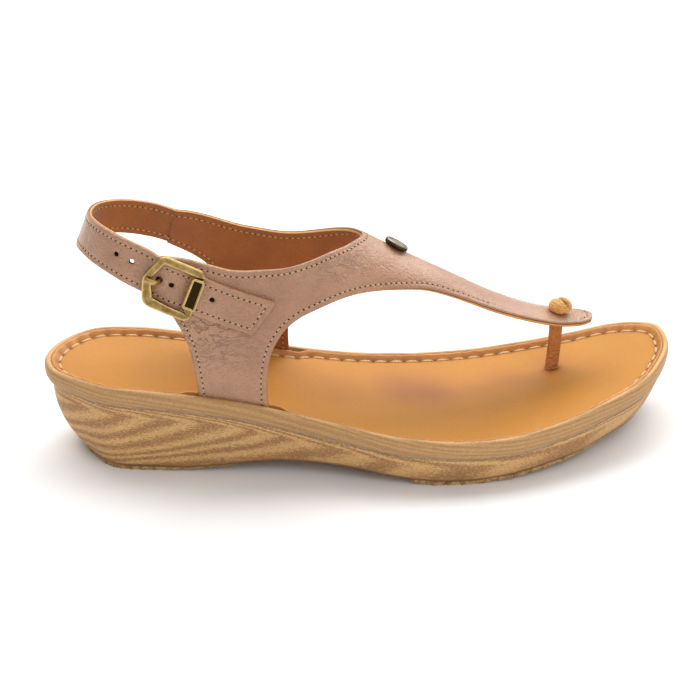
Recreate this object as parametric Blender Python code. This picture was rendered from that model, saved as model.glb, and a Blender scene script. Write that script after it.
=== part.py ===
"""T-strap wedge sandal: one right shoe, standing empty on its sole.

x runs from heel to toe, y from the outer (lateral) side to the inner (medial) side, and z up.
Tables and constants are in millimetres and become metres when a mesh is made. The empty that
carries every piece puts the middle of the shoe's plan outline at the origin, on the floor.
"""
import math
from collections import namedtuple

import bmesh
import bpy
import numpy as np
from mathutils import Vector
from mathutils.geometry import delaunay_2d_cdt

MM = 0.001
GAP = 0.3

# Sole: heights, rim band, cup and outsole pads
CUP_DEPTH = 8.0
RIM_WIDTH = 2.6
RIM_BAND = 9.0
PROUD_DROP = 3.0
CUP_LEAN = 0.2
HEEL_SHARPNESS = 3.8
PAD_THICKNESS = 1.7
PAD_INSET = 0.5
ARCH_BACK = -76.5
ARCH_FRONT = 37.0
ARCH_RISE = 5.2
SPRING_START = 46.0
SPRING_END = 138.0
TOE_SPRING = 7.4
SPRING_POWER = 1.1
HEEL_PAD_FRONT = -50.0
FOREFOOT_PAD_BACK = 20.0
FOREFOOT_PAD_FRONT = 106.0
HEEL_PAD_RINGS = 10
FOREFOOT_PAD_RINGS = 16
SPAN_STEPS = 3

# Insole: room for the quarters' feet
QUARTER_ROOM = 3.0
ROOM_BLEND = 8.0

# Leather
LEATHER = 2.3
STRAP_THICKNESS = 2.0
STRAP_TIP_SLANT = 0.32
HOLE_SIDES = 10
PUNCH_REACH = 0.25
STRAP_STATIONS = 50
DEGREE_SPACING = 0.75
EDGE_STEP = 4.5
GRID_STEP = 7.0

# Toe post and its knot
POST_X = 89.0
POST_Y = 12.5
POST_BASE_SHIFT = (-1.5, 3.0)
POST_LIFT = 1.0
POST_TOP = 3.0
POST_RINGS = 7
POST_WIDTH = 5.6
POST_THICKNESS = 2.6
KNOT_SIZE = (10.0, 9.6, 7.0)
KNOT_SHIFT = (1.0, -2.6)
KNOT_SEAT = 0.36
KNOT_SLIT = 0.9
KNOT_SLIT_TURN = 35.0
KNOT_SLIT_SHIFT = 0.8

# Buckle: centre-bar frame, prong and plain plate, and the stud
BUCKLE_PLACE = 42.3
BUCKLE_TURN = math.radians(3.0)
BUCKLE_TWIST = 0.3
BUCKLE_SHIFT = 0.05
FRAME_BAR = 3.3
FRAME_THICKNESS = 1.8
FRAME_BEVEL = 0.28
FRAME_CORNER_STEPS = 6
FRAME_RISE = 3.35
CENTRE_BAR_SIDE = 9.7
CENTRE_BAR_DROP = -1.25
CENTRE_BAR_SIZE = 1.6
PRONG_SIZE = (1.9, 1.3)
PRONG_SHIFT = 0.2
PLATE_SIZE = (5.8, 13.6, 1.3)
PLATE_PLACE = (-9.2, 0.8)
PLATE_CORNER = 1.4
PLATE_BEVEL = 0.3
PLATE_BORDER = 0.9
PLATE_RECESS = 0.4
STUD_X = 19.2
STUD_TURN = 3.0
STUD_RADIUS = 5.1
STUD_HEIGHT = 2.4
STUD_SIDES = 24

# Outer edge of the rim, heel to toe
SoleSection = namedtuple("SoleSection", "lateral_x lateral_y medial_x medial_y")
SOLE = [
    SoleSection(-126.8, 7.0, -126.8, 7.0),
    SoleSection(-124.7, -4.2, -124.7, 15.8),
    SoleSection(-114.5, -15.3, -117.0, 27.1),
    SoleSection(-104.0, -23.0, -106.0, 35.0),
    SoleSection(-86.0, -27.6, -89.0, 36.6),
    SoleSection(-62.0, -31.8, -65.0, 33.0),
    SoleSection(-36.0, -35.8, -36.0, 31.0),
    SoleSection(-10.0, -43.3, -8.0, 29.2),
    SoleSection(14.0, -50.6, 18.0, 31.2),
    SoleSection(38.0, -53.8, 46.0, 33.9),
    SoleSection(60.0, -52.0, 74.0, 37.2),
    SoleSection(84.0, -43.0, 100.0, 39.0),
    SoleSection(104.0, -32.2, 116.0, 39.6),
    SoleSection(121.9, -19.7, 126.8, 36.5),
    SoleSection(131.7, -4.8, 134.9, 30.7),
    SoleSection(137.8, 15.0, 137.8, 15.0),
]
SPINE_HEEL_SECTION = 4
SPINE_TOE_SECTION = 11

# Top of the rim along the shoe, and how deep the footbed is dished under its lip
RimRow = namedtuple("RimRow", "x height dish")
RIM = [
    RimRow(-128.0, 39.5, 2.6),
    RimRow(-100.0, 39.0, 2.9),
    RimRow(-60.0, 36.0, 1.8),
    RimRow(-20.0, 29.0, 0.8),
    RimRow(20.0, 23.0, 1.4),
    RimRow(60.0, 21.5, 1.6),
    RimRow(100.0, 25.3, 0.8),
    RimRow(138.0, 32.3, 0.6),
]

# Section of the rim band, from the cup over the top and down to the wall under the groove
RimPoint = namedtuple("RimPoint", "inset drop")
CUP_LIP = [
    RimPoint(RIM_WIDTH, 0.9),
    RimPoint(2.1, 0.1),
]
RIM_PROFILE = [
    RimPoint(1.4, 0.0),
    RimPoint(0.5, 0.6),
    RimPoint(0.0, 2.8),
    RimPoint(0.15, 5.6),
    RimPoint(0.7, 7.4),
    RimPoint(1.7, 7.9),
    RimPoint(1.5, RIM_BAND),
]
WALL_SHARES = (0.3, 0.55, 0.76, 0.9, 1.0)

# Wall under the band: inset at its foot, power of its curve, and how far the band tucks under
WallShape = namedtuple("WallShape", "taper power tuck")
SIDE_WALL = WallShape(4.8, 1.75, 0.0)
HEEL_WALL = WallShape(15.3, 2.2, 1.8)
TOE_WALL = WallShape(8.8, 1.2, 0.8)

# Thickness of the outsole pads along the shoe
PadRow = namedtuple("PadRow", "x thickness")
PADS = [
    PadRow(-88.0, PAD_THICKNESS),
    PadRow(-60.0, 0.4),
    PadRow(HEEL_PAD_FRONT, 0.3),
    PadRow(FOREFOOT_PAD_BACK, 1.2),
    PadRow(26.0, PAD_THICKNESS),
    PadRow(76.0, PAD_THICKNESS),
    PadRow(FOREFOOT_PAD_FRONT, 0.3),
]

# Section of the insole's raised lip, from its edge inwards, measured from the rim's top
LipPoint = namedtuple("LipPoint", "inset rise")
LIP = [
    LipPoint(0.0, -1.2),
    LipPoint(0.4, -0.15),
    LipPoint(1.2, -0.3),
    LipPoint(2.9, -2.2),
    LipPoint(4.4, -2.45),
]
DISH_SHARES = (0.3, 0.6, 1.0)

# Sections of the last: its ridge, its sides as insets from the sole's edge, and its roundness
LastSection = namedtuple("LastSection", "x ridge_y ridge_z lateral_inset medial_inset fullness")
LAST = [
    LastSection(-92.0, 2.0, 135.0, 2.9, 2.9, 3.0),
    LastSection(-64.0, 2.0, 130.0, 2.9, 2.9, 3.0),
    LastSection(-41.0, 2.0, 118.0, 2.9, 2.9, 2.6),
    LastSection(-18.0, 2.5, 104.0, 4.0, 2.9, 2.3),
    LastSection(6.0, 4.0, 91.5, 13.4, 4.0, 2.0),
    LastSection(20.0, 4.0, 83.5, 18.6, 5.0, 2.0),
    LastSection(44.0, 3.5, 70.5, 20.7, 5.0, 2.0),
    LastSection(62.0, 5.2, 60.0, 12.0, 4.0, 2.0),
    LastSection(80.0, 9.7, 51.2, 5.0, 4.0, 2.0),
    LastSection(106.0, 12.0, 45.5, 3.0, 4.0, 2.0),
]

# Edges of the T-strap and quarters on the last: place along the foot, and degrees round the
# section from the ridge, lateral foot -90 and medial foot +90
EdgePoint = namedtuple("EdgePoint", "x turn")
COLLAR = [
    EdgePoint(-79.0, -59.0),
    EdgePoint(-71.0, -58.7),
    EdgePoint(-60.0, -58.0),
    EdgePoint(-51.0, -56.0),
    EdgePoint(-41.0, -51.2),
    EdgePoint(-29.0, -43.7),
    EdgePoint(-18.3, -34.3),
    EdgePoint(-9.9, -25.9),
    EdgePoint(-1.3, -16.5),
    EdgePoint(5.6, 0.0),
    EdgePoint(1.4, 13.0),
    EdgePoint(-7.0, 27.0),
    EdgePoint(-23.0, 43.6),
    EdgePoint(-39.4, 51.9),
    EdgePoint(-60.0, 57.5),
    EdgePoint(-69.6, 59.2),
]
MEDIAL_BACK = [
    EdgePoint(-74.4, 70.0),
    EdgePoint(-69.6, 70.9),
    EdgePoint(-65.0, 71.6),
    EdgePoint(-60.5, 72.3),
    EdgePoint(-57.0, 73.2),
    EdgePoint(-54.8, 75.6),
    EdgePoint(-53.6, 80.5),
    EdgePoint(-53.0, 90.0),
]
MEDIAL_FRONT = [
    EdgePoint(-23.0, 90.0),
    EdgePoint(-23.4, 80.5),
    EdgePoint(-21.5, 73.5),
    EdgePoint(-16.5, 64.5),
    EdgePoint(-8.0, 54.0),
    EdgePoint(3.0, 44.0),
    EdgePoint(16.0, 35.4),
    EdgePoint(30.0, 29.0),
    EdgePoint(45.0, 25.0),
    EdgePoint(62.0, 21.5),
    EdgePoint(80.0, 21.0),
    EdgePoint(92.0, 22.0),
    EdgePoint(99.5, 17.5),
    EdgePoint(103.2, 10.0),
    EdgePoint(104.3, 0.0),
    EdgePoint(103.2, -5.5),
    EdgePoint(99.5, -9.5),
    EdgePoint(92.0, -11.8),
    EdgePoint(80.0, -12.2),
    EdgePoint(62.3, -15.0),
    EdgePoint(44.6, -20.3),
    EdgePoint(31.8, -24.1),
    EdgePoint(19.1, -30.9),
    EdgePoint(6.3, -37.7),
    EdgePoint(-7.0, -46.0),
    EdgePoint(-15.3, -52.3),
    EdgePoint(-23.7, -59.3),
    EdgePoint(-31.5, -68.3),
    EdgePoint(-36.5, -78.0),
    EdgePoint(-37.4, -84.2),
    EdgePoint(-36.5, -90.0),
]
LATERAL_BACK = [
    EdgePoint(-64.5, -90.0),
    EdgePoint(-66.0, -86.5),
    EdgePoint(-68.5, -81.6),
    EdgePoint(-74.0, -76.0),
    EdgePoint(-79.0, -71.5),
]

# Inner face of the heel strap: laps that lie on the quarters, and the free loop round the heel
LapRow = namedtuple("LapRow", "x height lift")
LATERAL_LAP = [
    LapRow(-35.5, 70.1, 0.5),
    LapRow(-48.0, 74.5, 0.55),
    LapRow(-57.5, 78.3, 0.5),
    LapRow(-65.0, 81.6, 0.55),
    LapRow(-74.2, 85.8, 2.4),
    LapRow(-83.5, 90.8, 0.7),
]
LoopRow = namedtuple("LoopRow", "x y height lean")
HEEL_LOOP = [
    LoopRow(-94.0, -20.3, 95.9, 9.0),
    LoopRow(-104.0, -8.5, 98.4, 16.0),
    LoopRow(-107.4, 4.0, 98.1, 20.0),
    LoopRow(-102.5, 17.5, 96.5, 15.0),
    LoopRow(-92.0, 25.6, 93.6, 9.0),
    LoopRow(-79.0, 29.2, 89.6, 6.0),
]
MEDIAL_LAP = [
    LapRow(-66.0, 85.1, -1.0),
    LapRow(-50.0, 79.4, -1.0),
]

# Width of the strap at lengths from its tip
WidthRow = namedtuple("WidthRow", "place width")
STRAP_WIDTHS = [
    WidthRow(0.0, 15.6),
    WidthRow(26.0, 15.8),
    WidthRow(46.0, 17.0),
    WidthRow(61.0, 17.2),
    WidthRow(86.0, 15.4),
    WidthRow(110.0, 15.2),
]

# Punched holes of the strap: length from its tip, distance above its middle, and radius
StrapHole = namedtuple("StrapHole", "place above radius")
STRAP_HOLES = [
    StrapHole(25.1, 0.9, 1.0),
    StrapHole(33.6, 0.9, 1.0),
    StrapHole(42.6, 0.6, 1.0),
    StrapHole(47.7, 0.1, 1.35),
    StrapHole(60.8, 1.1, 1.0),
    StrapHole(67.2, 1.0, 1.0),
]

# Middle line of the buckle's frame: corners and their radius, from the plate's end round to it
FrameCorner = namedtuple("FrameCorner", "along across radius")
FRAME_CORNERS = [
    FrameCorner(-9.6, 9.35, 1.3),
    FrameCorner(7.4, 10.65, 2.4),
    FrameCorner(10.95, 0.8, 6.0),
    FrameCorner(7.2, -9.35, 3.4),
    FrameCorner(-9.6, -9.35, 1.3),
]

# Prong from the centre bar through its strap hole to the top of the heel-side bar
ProngPoint = namedtuple("ProngPoint", "along rise")
PRONG = [
    ProngPoint(1.2, -1.4),
    ProngPoint(2.8, -1.5),
    ProngPoint(4.2, -1.5),
    ProngPoint(5.05, -1.0),
    ProngPoint(5.35, 0.2),
    ProngPoint(5.55, 1.8),
    ProngPoint(6.0, 3.7),
    ProngPoint(7.2, 5.0),
    ProngPoint(9.5, 5.15),
    ProngPoint(11.4, 5.05),
]
PRONG_STEP = 1.0


def smooth(keys, values, at):
    """Smooth curve through rows: cubic spans with slopes taken from the neighbouring rows."""
    keys = np.asarray(keys, float)
    values = np.asarray(values, float)
    slopes = np.gradient(values, keys, axis=0)
    at = np.clip(np.asarray(at, float), keys[0], keys[-1])
    row = np.clip(np.searchsorted(keys, at) - 1, 0, len(keys) - 2)
    step = keys[row + 1] - keys[row]
    share = (at - keys[row]) / step
    if values.ndim > 1:
        share = share[..., None]
        step = step[..., None]
    before = values[row] * (1 + 2 * share) * (1 - share) ** 2
    after = values[row + 1] * share ** 2 * (3 - 2 * share)
    bend = slopes[row] * share * (1 - share) ** 2 - slopes[row + 1] * share ** 2 * (1 - share)
    return before + after + step * bend


def chord_lengths(points):
    """Running length along a polyline."""
    steps = np.linalg.norm(np.diff(points, axis=0), axis=1)
    return np.concatenate([[0.0], np.cumsum(steps)])


def curve_through(points, step):
    """Points about one step apart on a smooth open curve through the given points."""
    points = np.asarray(points, float)
    length = chord_lengths(points)
    count = max(2, int(math.ceil(length[-1] / step)) + 1)
    return smooth(length, points, np.linspace(0.0, length[-1], count))


def unit(vectors):
    """Vectors scaled to length one."""
    return vectors / np.linalg.norm(vectors, axis=-1, keepdims=True)


# Sole plan and heights

SolePlan = namedtuple("SolePlan", "edge inward breadth")


def sole_plan(steps):
    """Rim edge in plan, with each point's direction and distance to the sole's middle line."""
    lateral = [(row.lateral_x, row.lateral_y) for row in SOLE]
    medial = [(row.medial_x, row.medial_y) for row in SOLE[-2:0:-1]]
    knots = np.array(lateral + medial)
    wrapped = np.vstack([knots[-3:], knots, knots[:4]])
    length = chord_lengths(wrapped)
    marks = length[3:len(knots) + 4]
    spans = [np.linspace(a, b, steps, endpoint=False) for a, b in zip(marks[:-1], marks[1:])]
    edge = smooth(length, wrapped, np.concatenate(spans))
    count = len(edge)
    station = np.minimum(np.arange(count), count - np.arange(count))
    station = np.clip(station, SPINE_HEEL_SECTION * steps, SPINE_TOE_SECTION * steps)
    middle = 0.5 * (edge[station] + edge[(count - station) % count])
    breadth = np.linalg.norm(middle - edge, axis=1)
    return SolePlan(edge, (middle - edge) / breadth[:, None], breadth)


def rim_height(x):
    """Height of the rim's top along the shoe."""
    return smooth([row.x for row in RIM], [row.height for row in RIM], x)


def dish_depth(x):
    """Depth of the footbed's dish along the shoe."""
    return smooth([row.x for row in RIM], [row.dish for row in RIM], x)


def cup_floor(x):
    """Height of the floor of the wedge's cup."""
    return rim_height(x) - CUP_DEPTH


def wedge_bottom(x):
    """Height of the wedge's underside: flat heel, arch, flat ball and toe spring."""
    arch = np.clip((x - ARCH_BACK) / (ARCH_FRONT - ARCH_BACK), 0.0, 1.0)
    spring = np.clip((x - SPRING_START) / (SPRING_END - SPRING_START), 0.0, None)
    rise = ARCH_RISE * np.sin(math.pi * arch) ** 2 + TOE_SPRING * spring ** SPRING_POWER
    return PAD_THICKNESS + GAP + rise


def wall_shape(plan):
    """Shape of the wall round the edge, blended from the sides to the heel and to the toe."""
    backward = np.clip(plan.inward[:, 0], 0.0, 1.0) ** HEEL_SHARPNESS
    forward = np.clip(-plan.inward[:, 0], 0.0, 1.0)
    return WallShape(*(side + (heel - side) * backward + (toe - side) * forward
                       for side, heel, toe in zip(SIDE_WALL, HEEL_WALL, TOE_WALL)))


def tuck_share(drop):
    """Share of the rim band's tuck at a drop under the rim's top."""
    return (max(drop - PROUD_DROP, 0.0) / (RIM_BAND - PROUD_DROP)) ** 2


def pad_thickness(x):
    """Thickness of the outsole pads at x."""
    return np.interp(x, [row.x for row in PADS], [row.thickness for row in PADS])


def under_rim(drop):
    """Height along the shoe at a drop under the rim's top."""
    return lambda x: rim_height(x) - drop


def wall_height(share):
    """Height along the shoe at a share of the way from the rim band down to the underside."""
    return lambda x: (1 - share) * (rim_height(x) - RIM_BAND) + share * wedge_bottom(x)


def ring(plan, inset, height):
    """Closed ring of points at an inset from the rim's edge, at a height given along the shoe."""
    inset = np.broadcast_to(inset, plan.breadth.shape)
    xy = plan.edge + plan.inward * inset[:, None]
    return np.column_stack([xy, height(xy[:, 0])])


def loft(rings):
    """Points and four-sided faces of a skin over closed rings of equal count."""
    count = len(rings[0])
    faces = []
    for row in range(len(rings) - 1):
        for i in range(count):
            j = (i + 1) % count
            faces.append((row * count + i, row * count + j, (row + 1) * count + j, (row + 1) * count + i))
    return np.vstack(rings), faces


def wedge_skin():
    """Wedge from the cup's middle, over the rim and down the wall to the middle of the underside."""
    plan = sole_plan(SPAN_STEPS)
    wall = wall_shape(plan)
    lean = CUP_LEAN * wall.tuck
    rings = [ring(plan, plan.breadth * share, cup_floor) for share in (1.0, 0.5)]
    rings.append(ring(plan, RIM_WIDTH + lean * CUP_DEPTH, cup_floor))
    for point in CUP_LIP:
        rings.append(ring(plan, point.inset + lean * point.drop, under_rim(point.drop)))
    for point in RIM_PROFILE:
        inset = point.inset + wall.tuck * tuck_share(point.drop)
        rings.append(ring(plan, inset, under_rim(point.drop)))
    wall_top = RIM_PROFILE[-1].inset + wall.tuck
    for share in WALL_SHARES:
        inset = wall_top + (wall.taper - wall_top) * share ** wall.power
        rings.append(ring(plan, inset, wall_height(share)))
    for share in (0.6, 1.0):
        rings.append(ring(plan, np.maximum(wall.taper, plan.breadth * share), wedge_bottom))
    return loft(rings)


def insole_inset(plan):
    """Inset of the insole's edge: close to the cup's wall, with room left for the quarters' feet."""
    inset = np.full(len(plan.edge), RIM_WIDTH + GAP)
    half = len(plan.edge) // 2
    x = plan.edge[:, 0]
    feet = ((LATERAL_BACK[0].x, MEDIAL_FRONT[-1].x, np.arange(len(x)) <= half),
            (MEDIAL_BACK[-1].x, MEDIAL_FRONT[0].x, np.arange(len(x)) >= half))
    for back, front, side in feet:
        inside = np.minimum(x - back + ROOM_BLEND, front + ROOM_BLEND - x) / ROOM_BLEND
        inset = np.where(side, inset + QUARTER_ROOM * np.clip(2.0 * inside, 0.0, 1.0), inset)
    return inset


def insole_skin():
    """Footbed: flat underside, raised lip round the edge and a dished middle."""
    plan = sole_plan(SPAN_STEPS)
    lean = CUP_LEAN * wall_shape(plan).tuck
    edge = insole_inset(plan)
    underside = under_rim(CUP_DEPTH - GAP)
    rings = [ring(plan, plan.breadth * share, underside) for share in (1.0, 0.5)]
    rings.append(ring(plan, edge + lean * CUP_DEPTH, underside))
    for point in LIP:
        inset = edge + point.inset + lean * max(-point.rise, 0.0)
        rings.append(ring(plan, inset, under_rim(-point.rise)))
    for share in DISH_SHARES:
        inset = edge + LIP[-1].inset + (plan.breadth - edge - LIP[-1].inset) * share
        depth = 1 - (1 - share) ** 2
        rings.append(ring(plan, inset, lambda x: rim_height(x) + LIP[-1].rise - depth * dish_depth(x)))
    return loft(rings)


def pad_skin(back, front, count):
    """Outsole pad between two places along the shoe, under the wedge and as wide as its underside."""
    plan = sole_plan(SPAN_STEPS)
    foot = plan.edge + plan.inward * (wall_shape(plan).taper + PAD_INSET)[:, None]
    half = len(foot) // 2
    lateral = foot[:half + 1]
    medial = np.vstack([foot[half:], foot[:1]])[::-1]
    start = max(back, foot[:, 0].min() + PAD_INSET)
    stations = start + (front - start) * (1 - np.cos(np.linspace(0.0, math.pi / 2, count)))
    rings = []
    for x in stations:
        top = wedge_bottom(x) - GAP
        sides = [np.interp(x, side[:, 0], side[:, 1]) for side in (lateral, medial)]
        low, high = top - pad_thickness(x), top
        rings.append(np.array([(x, y, z) for y, z in zip(sides + sides[::-1], (low, low, high, high))]))
    points, faces = loft(rings)
    last = 4 * (count - 1)
    return points, faces + [(0, 1, 2, 3), (last + 3, last + 2, last + 1, last)]


# Last, T-strap and quarters

FINE_PLAN = sole_plan(16)


def sole_edge(x, lateral):
    """Across-foot place of the rim's edge on one side."""
    half = len(FINE_PLAN.edge) // 2
    if lateral:
        side = FINE_PLAN.edge[:half + 1]
    else:
        side = np.vstack([FINE_PLAN.edge[half:], FINE_PLAN.edge[:1]])[::-1]
    return np.interp(x, side[:, 0], side[:, 1])


def last_rows(x):
    """Ridge place and height, both sides, foot height and roundness of the last at x."""
    rows = smooth([row.x for row in LAST], [row[1:] for row in LAST], x)
    ridge_y, ridge_z, lateral_inset, medial_inset, fullness = np.moveaxis(rows, -1, 0)
    lateral = sole_edge(x, True) + lateral_inset
    medial = sole_edge(x, False) - medial_inset
    return ridge_y, ridge_z, lateral, medial, cup_floor(x) + GAP, fullness


def last_surface(x, turn):
    """Outer leather surface at x, at an angle round the section from the ridge."""
    x = np.asarray(x, float)
    turn = np.asarray(turn, float)
    ridge_y, ridge_z, lateral, medial, foot, fullness = last_rows(x)
    angle = np.radians(np.minimum(np.abs(turn), 90.0))
    across = np.sin(angle) ** (2 / fullness)
    up = np.maximum(np.cos(angle), 0.0) ** (2 / fullness)
    side = np.where(turn < 0, lateral, medial)
    return np.stack([x, ridge_y + (side - ridge_y) * across, foot + (ridge_z - foot) * up], axis=-1)


def last_normal(x, turn):
    """Outward direction of the last's surface."""
    along = last_surface(x + 0.2, turn) - last_surface(x - 0.2, turn)
    turn = np.clip(turn, -89.0, 89.0)
    round_section = last_surface(x, turn + 0.5) - last_surface(x, turn - 0.5)
    return unit(np.cross(along, round_section))


def last_turn(x, height, side):
    """Angle round the section at which the last has a height, on side -1 lateral or +1 medial."""
    _, ridge_z, _, _, foot, fullness = last_rows(np.asarray(x, float))
    up = np.clip((height - foot) / (ridge_z - foot), 0.0, 1.0)
    return side * np.degrees(np.arccos(up ** (fullness / 2)))


def quarter_outline(step):
    """Closed outline of the T-strap and quarters on the last, one smooth run per edge."""
    runs = [curve_through([(p.x, p.turn * DEGREE_SPACING) for p in edge], step)
            for edge in (COLLAR, MEDIAL_BACK, MEDIAL_FRONT, LATERAL_BACK)]
    feet = [np.linspace(MEDIAL_BACK[-1].x, MEDIAL_FRONT[0].x, 6)[1:-1],
            np.linspace(MEDIAL_FRONT[-1].x, LATERAL_BACK[0].x, 6)[1:-1]]
    flat = 90.0 * DEGREE_SPACING
    foot_runs = [np.column_stack([foot, np.full(len(foot), turn)])
                 for foot, turn in zip(feet, (flat, -flat))]
    return np.vstack([runs[0], runs[1], foot_runs[0], runs[2], foot_runs[1], runs[3]])


def quarter_skin():
    """T-strap and quarters as a wall of leather: outer skin, lining and the edge between them."""
    outline = quarter_outline(EDGE_STEP)
    low, high = outline.min(axis=0), outline.max(axis=0)
    grid_x = np.arange(low[0], high[0], GRID_STEP)
    grid_turn = np.arange(low[1], high[1], GRID_STEP)
    grid = [(x, turn) for x in grid_x for turn in grid_turn]
    inner_points = [place for place in grid if clear_of(outline, place, 0.45 * GRID_STEP)]
    seeds = [Vector(p) for p in outline] + [Vector(p) for p in inner_points]
    border = list(range(len(outline)))
    flat, _, triangles, _, _, _ = delaunay_2d_cdt(seeds, [], [border], 1, 1e-6)
    places = np.array([tuple(p) for p in flat])
    x, turn = places[:, 0], places[:, 1] / DEGREE_SPACING
    outer = last_surface(x, turn)
    lining = outer - LEATHER * last_normal(x, turn)
    count = len(places)
    faces = [tuple(t) for t in triangles] + [tuple(i + count for i in reversed(t)) for t in triangles]
    sides = {}
    for t in triangles:
        for a, b in zip(t, t[1:] + t[:1]):
            sides[(a, b)] = True
    for a, b in list(sides):
        if (b, a) not in sides:
            faces.append((b, a, a + count, b + count))
    return np.vstack([outer, lining]), faces


def clear_of(outline, place, distance):
    """True where a place is at least a distance from every point of an outline."""
    return np.min(np.linalg.norm(outline - np.array(place), axis=1)) > distance


# Heel strap

def strap_rows():
    """Middle of the strap's inner face and its upward direction, tip first, at every table row."""
    middles, ups = [], []
    for side, rows in ((-1, LATERAL_LAP), (1, MEDIAL_LAP)):
        x = np.array([row.x for row in rows])
        turn = last_turn(x, np.array([row.height for row in rows]), side)
        lift = np.array([row.lift for row in rows])
        middles.append(last_surface(x, turn) + lift[:, None] * last_normal(x, turn))
        ups.append(unit(last_surface(x, turn - side) - last_surface(x, turn + side)))
    loop = np.array([(row.x, row.y, row.height) for row in HEEL_LOOP])
    way = unit(np.gradient(loop[:, :2], axis=0))
    outward = np.column_stack([-way[:, 1], way[:, 0], np.zeros(len(loop))])
    lean = np.radians([row.lean for row in HEEL_LOOP])[:, None]
    loop_up = np.cos(lean) * np.array([0.0, 0.0, 1.0]) - np.sin(lean) * outward
    return np.vstack([middles[0], loop, middles[1]]), np.vstack([ups[0], loop_up, ups[1]])


def strap_frame(place):
    """Middle, forward, upward and outward directions of the strap, at lengths from its tip."""
    middles, ups = strap_rows()
    length = chord_lengths(middles)
    place = np.asarray(place, float)
    middle = smooth(length, middles, place)
    along = unit(smooth(length, middles, place + 0.5) - smooth(length, middles, place - 0.5))
    up = smooth(length, ups, place)
    up = unit(up - along * np.sum(up * along, axis=-1, keepdims=True))
    return middle, along, up, np.cross(up, along)


def strap_width(place):
    """Width of the strap at lengths from its tip."""
    return smooth([row.place for row in STRAP_WIDTHS], [row.width for row in STRAP_WIDTHS], place)


def strap_skin():
    """Ribbon of leather along the strap's path, with its tip cut on the slant."""
    middles, _ = strap_rows()
    total = chord_lengths(middles)[-1]
    places = np.linspace(0.0, total, STRAP_STATIONS)
    rings = []
    for place in places:
        half = 0.5 * float(strap_width(place))
        columns = np.linspace(-half, half, 5)
        fade = max(0.0, 1.0 - place / (3.0 * half))
        slanted = place + STRAP_TIP_SLANT * (half - columns) * fade
        middle, _, up, outward = strap_frame(slanted)
        inner = middle + up * columns[:, None]
        rings.append(np.vstack([inner, (inner + outward * STRAP_THICKNESS)[::-1]]))
    points, faces = loft(rings)
    count = len(rings[0])
    end = count * (len(rings) - 1)
    columns_count = len(columns)
    for i in range(columns_count - 1):
        j = count - 1 - i
        faces.append((i, i + 1, j - 1, j))
        faces.append((end + j, end + j - 1, end + i + 1, end + i))
    return points, faces


def tube(path, halves, sides, guide=(1.0, 0.0, 0.0)):
    """Capped tube along a path, with its half sizes along the guide and square to it."""
    path = np.asarray(path, float)
    way = unit(np.gradient(path, axis=0))
    guide = np.asarray(guide)
    across = unit(guide - way * (way @ guide)[:, None])
    second = np.cross(way, across)
    angles = (np.arange(sides) + 0.5) * 2 * math.pi / sides
    first_share = halves[0] * np.cos(angles)[:, None]
    second_share = halves[1] * np.sin(angles)[:, None]
    rings = [path[i] + first_share * across[i] + second_share * second[i] for i in range(len(path))]
    points, faces = loft(rings)
    end = sides * (len(path) - 1)
    return points, faces + [tuple(reversed(range(sides))), tuple(range(end, end + sides))]


# Objects

def material(name, colour, roughness, metallic=0.0):
    """Plain finish for one kind of piece."""
    finish = bpy.data.materials.new(name)
    finish.use_nodes = True
    shader = finish.node_tree.nodes["Principled BSDF"]
    shader.inputs["Base Color"].default_value = (*colour, 1.0)
    shader.inputs["Roughness"].default_value = roughness
    shader.inputs["Metallic"].default_value = metallic
    return finish


def solid(name, skin, finish, parent, sharp=35.0):
    """Closed mesh object from points in millimetres and faces."""
    points, faces = skin
    mesh = bpy.data.meshes.new(name)
    mesh.from_pydata([tuple(p) for p in np.asarray(points) * MM], [], [list(f) for f in faces])
    work = bmesh.new()
    work.from_mesh(mesh)
    bmesh.ops.remove_doubles(work, verts=work.verts, dist=1e-6)
    bmesh.ops.dissolve_degenerate(work, edges=work.edges, dist=1e-7)
    bmesh.ops.recalc_face_normals(work, faces=work.faces)
    bmesh.ops.triangulate(work, faces=work.faces)
    work.to_mesh(mesh)
    work.free()
    mesh.shade_smooth()
    mesh.set_sharp_from_angle(angle=math.radians(sharp))
    mesh.materials.append(finish)
    piece = bpy.data.objects.new(name, mesh)
    piece.parent = parent
    bpy.context.collection.objects.link(piece)
    return piece


def helper(name, skin, finish, parent):
    """Shape that only cuts or joins another piece, kept out of the finished object."""
    piece = solid(name, skin, finish, parent)
    piece.hide_render = True
    piece.display_type = "WIRE"
    return piece


def combine(piece, other, operation):
    """Exact Boolean of another shape into a piece."""
    modifier = piece.modifiers.new(other.name, "BOOLEAN")
    modifier.operation = operation
    modifier.solver = "EXACT"
    modifier.object = other


def strap_holes():
    """Punches for the row of strap holes."""
    points, faces = [], []
    angles = np.arange(HOLE_SIDES) * 2 * math.pi / HOLE_SIDES
    for index, hole in enumerate(STRAP_HOLES):
        middle, along, up, outward = strap_frame(hole.place)
        circle = hole.radius * (np.cos(angles)[:, None] * along + np.sin(angles)[:, None] * up)
        reaches = (-PUNCH_REACH, STRAP_THICKNESS + PUNCH_REACH)
        ends = [middle + hole.above * up + reach * outward for reach in reaches]
        punch, sides = loft([end + circle for end in ends])
        caps = [tuple(reversed(range(HOLE_SIDES))), tuple(range(HOLE_SIDES, 2 * HOLE_SIDES))]
        points.append(punch)
        faces += [tuple(2 * HOLE_SIDES * index + i for i in face) for face in sides + caps]
    return np.vstack(points), faces


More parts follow.
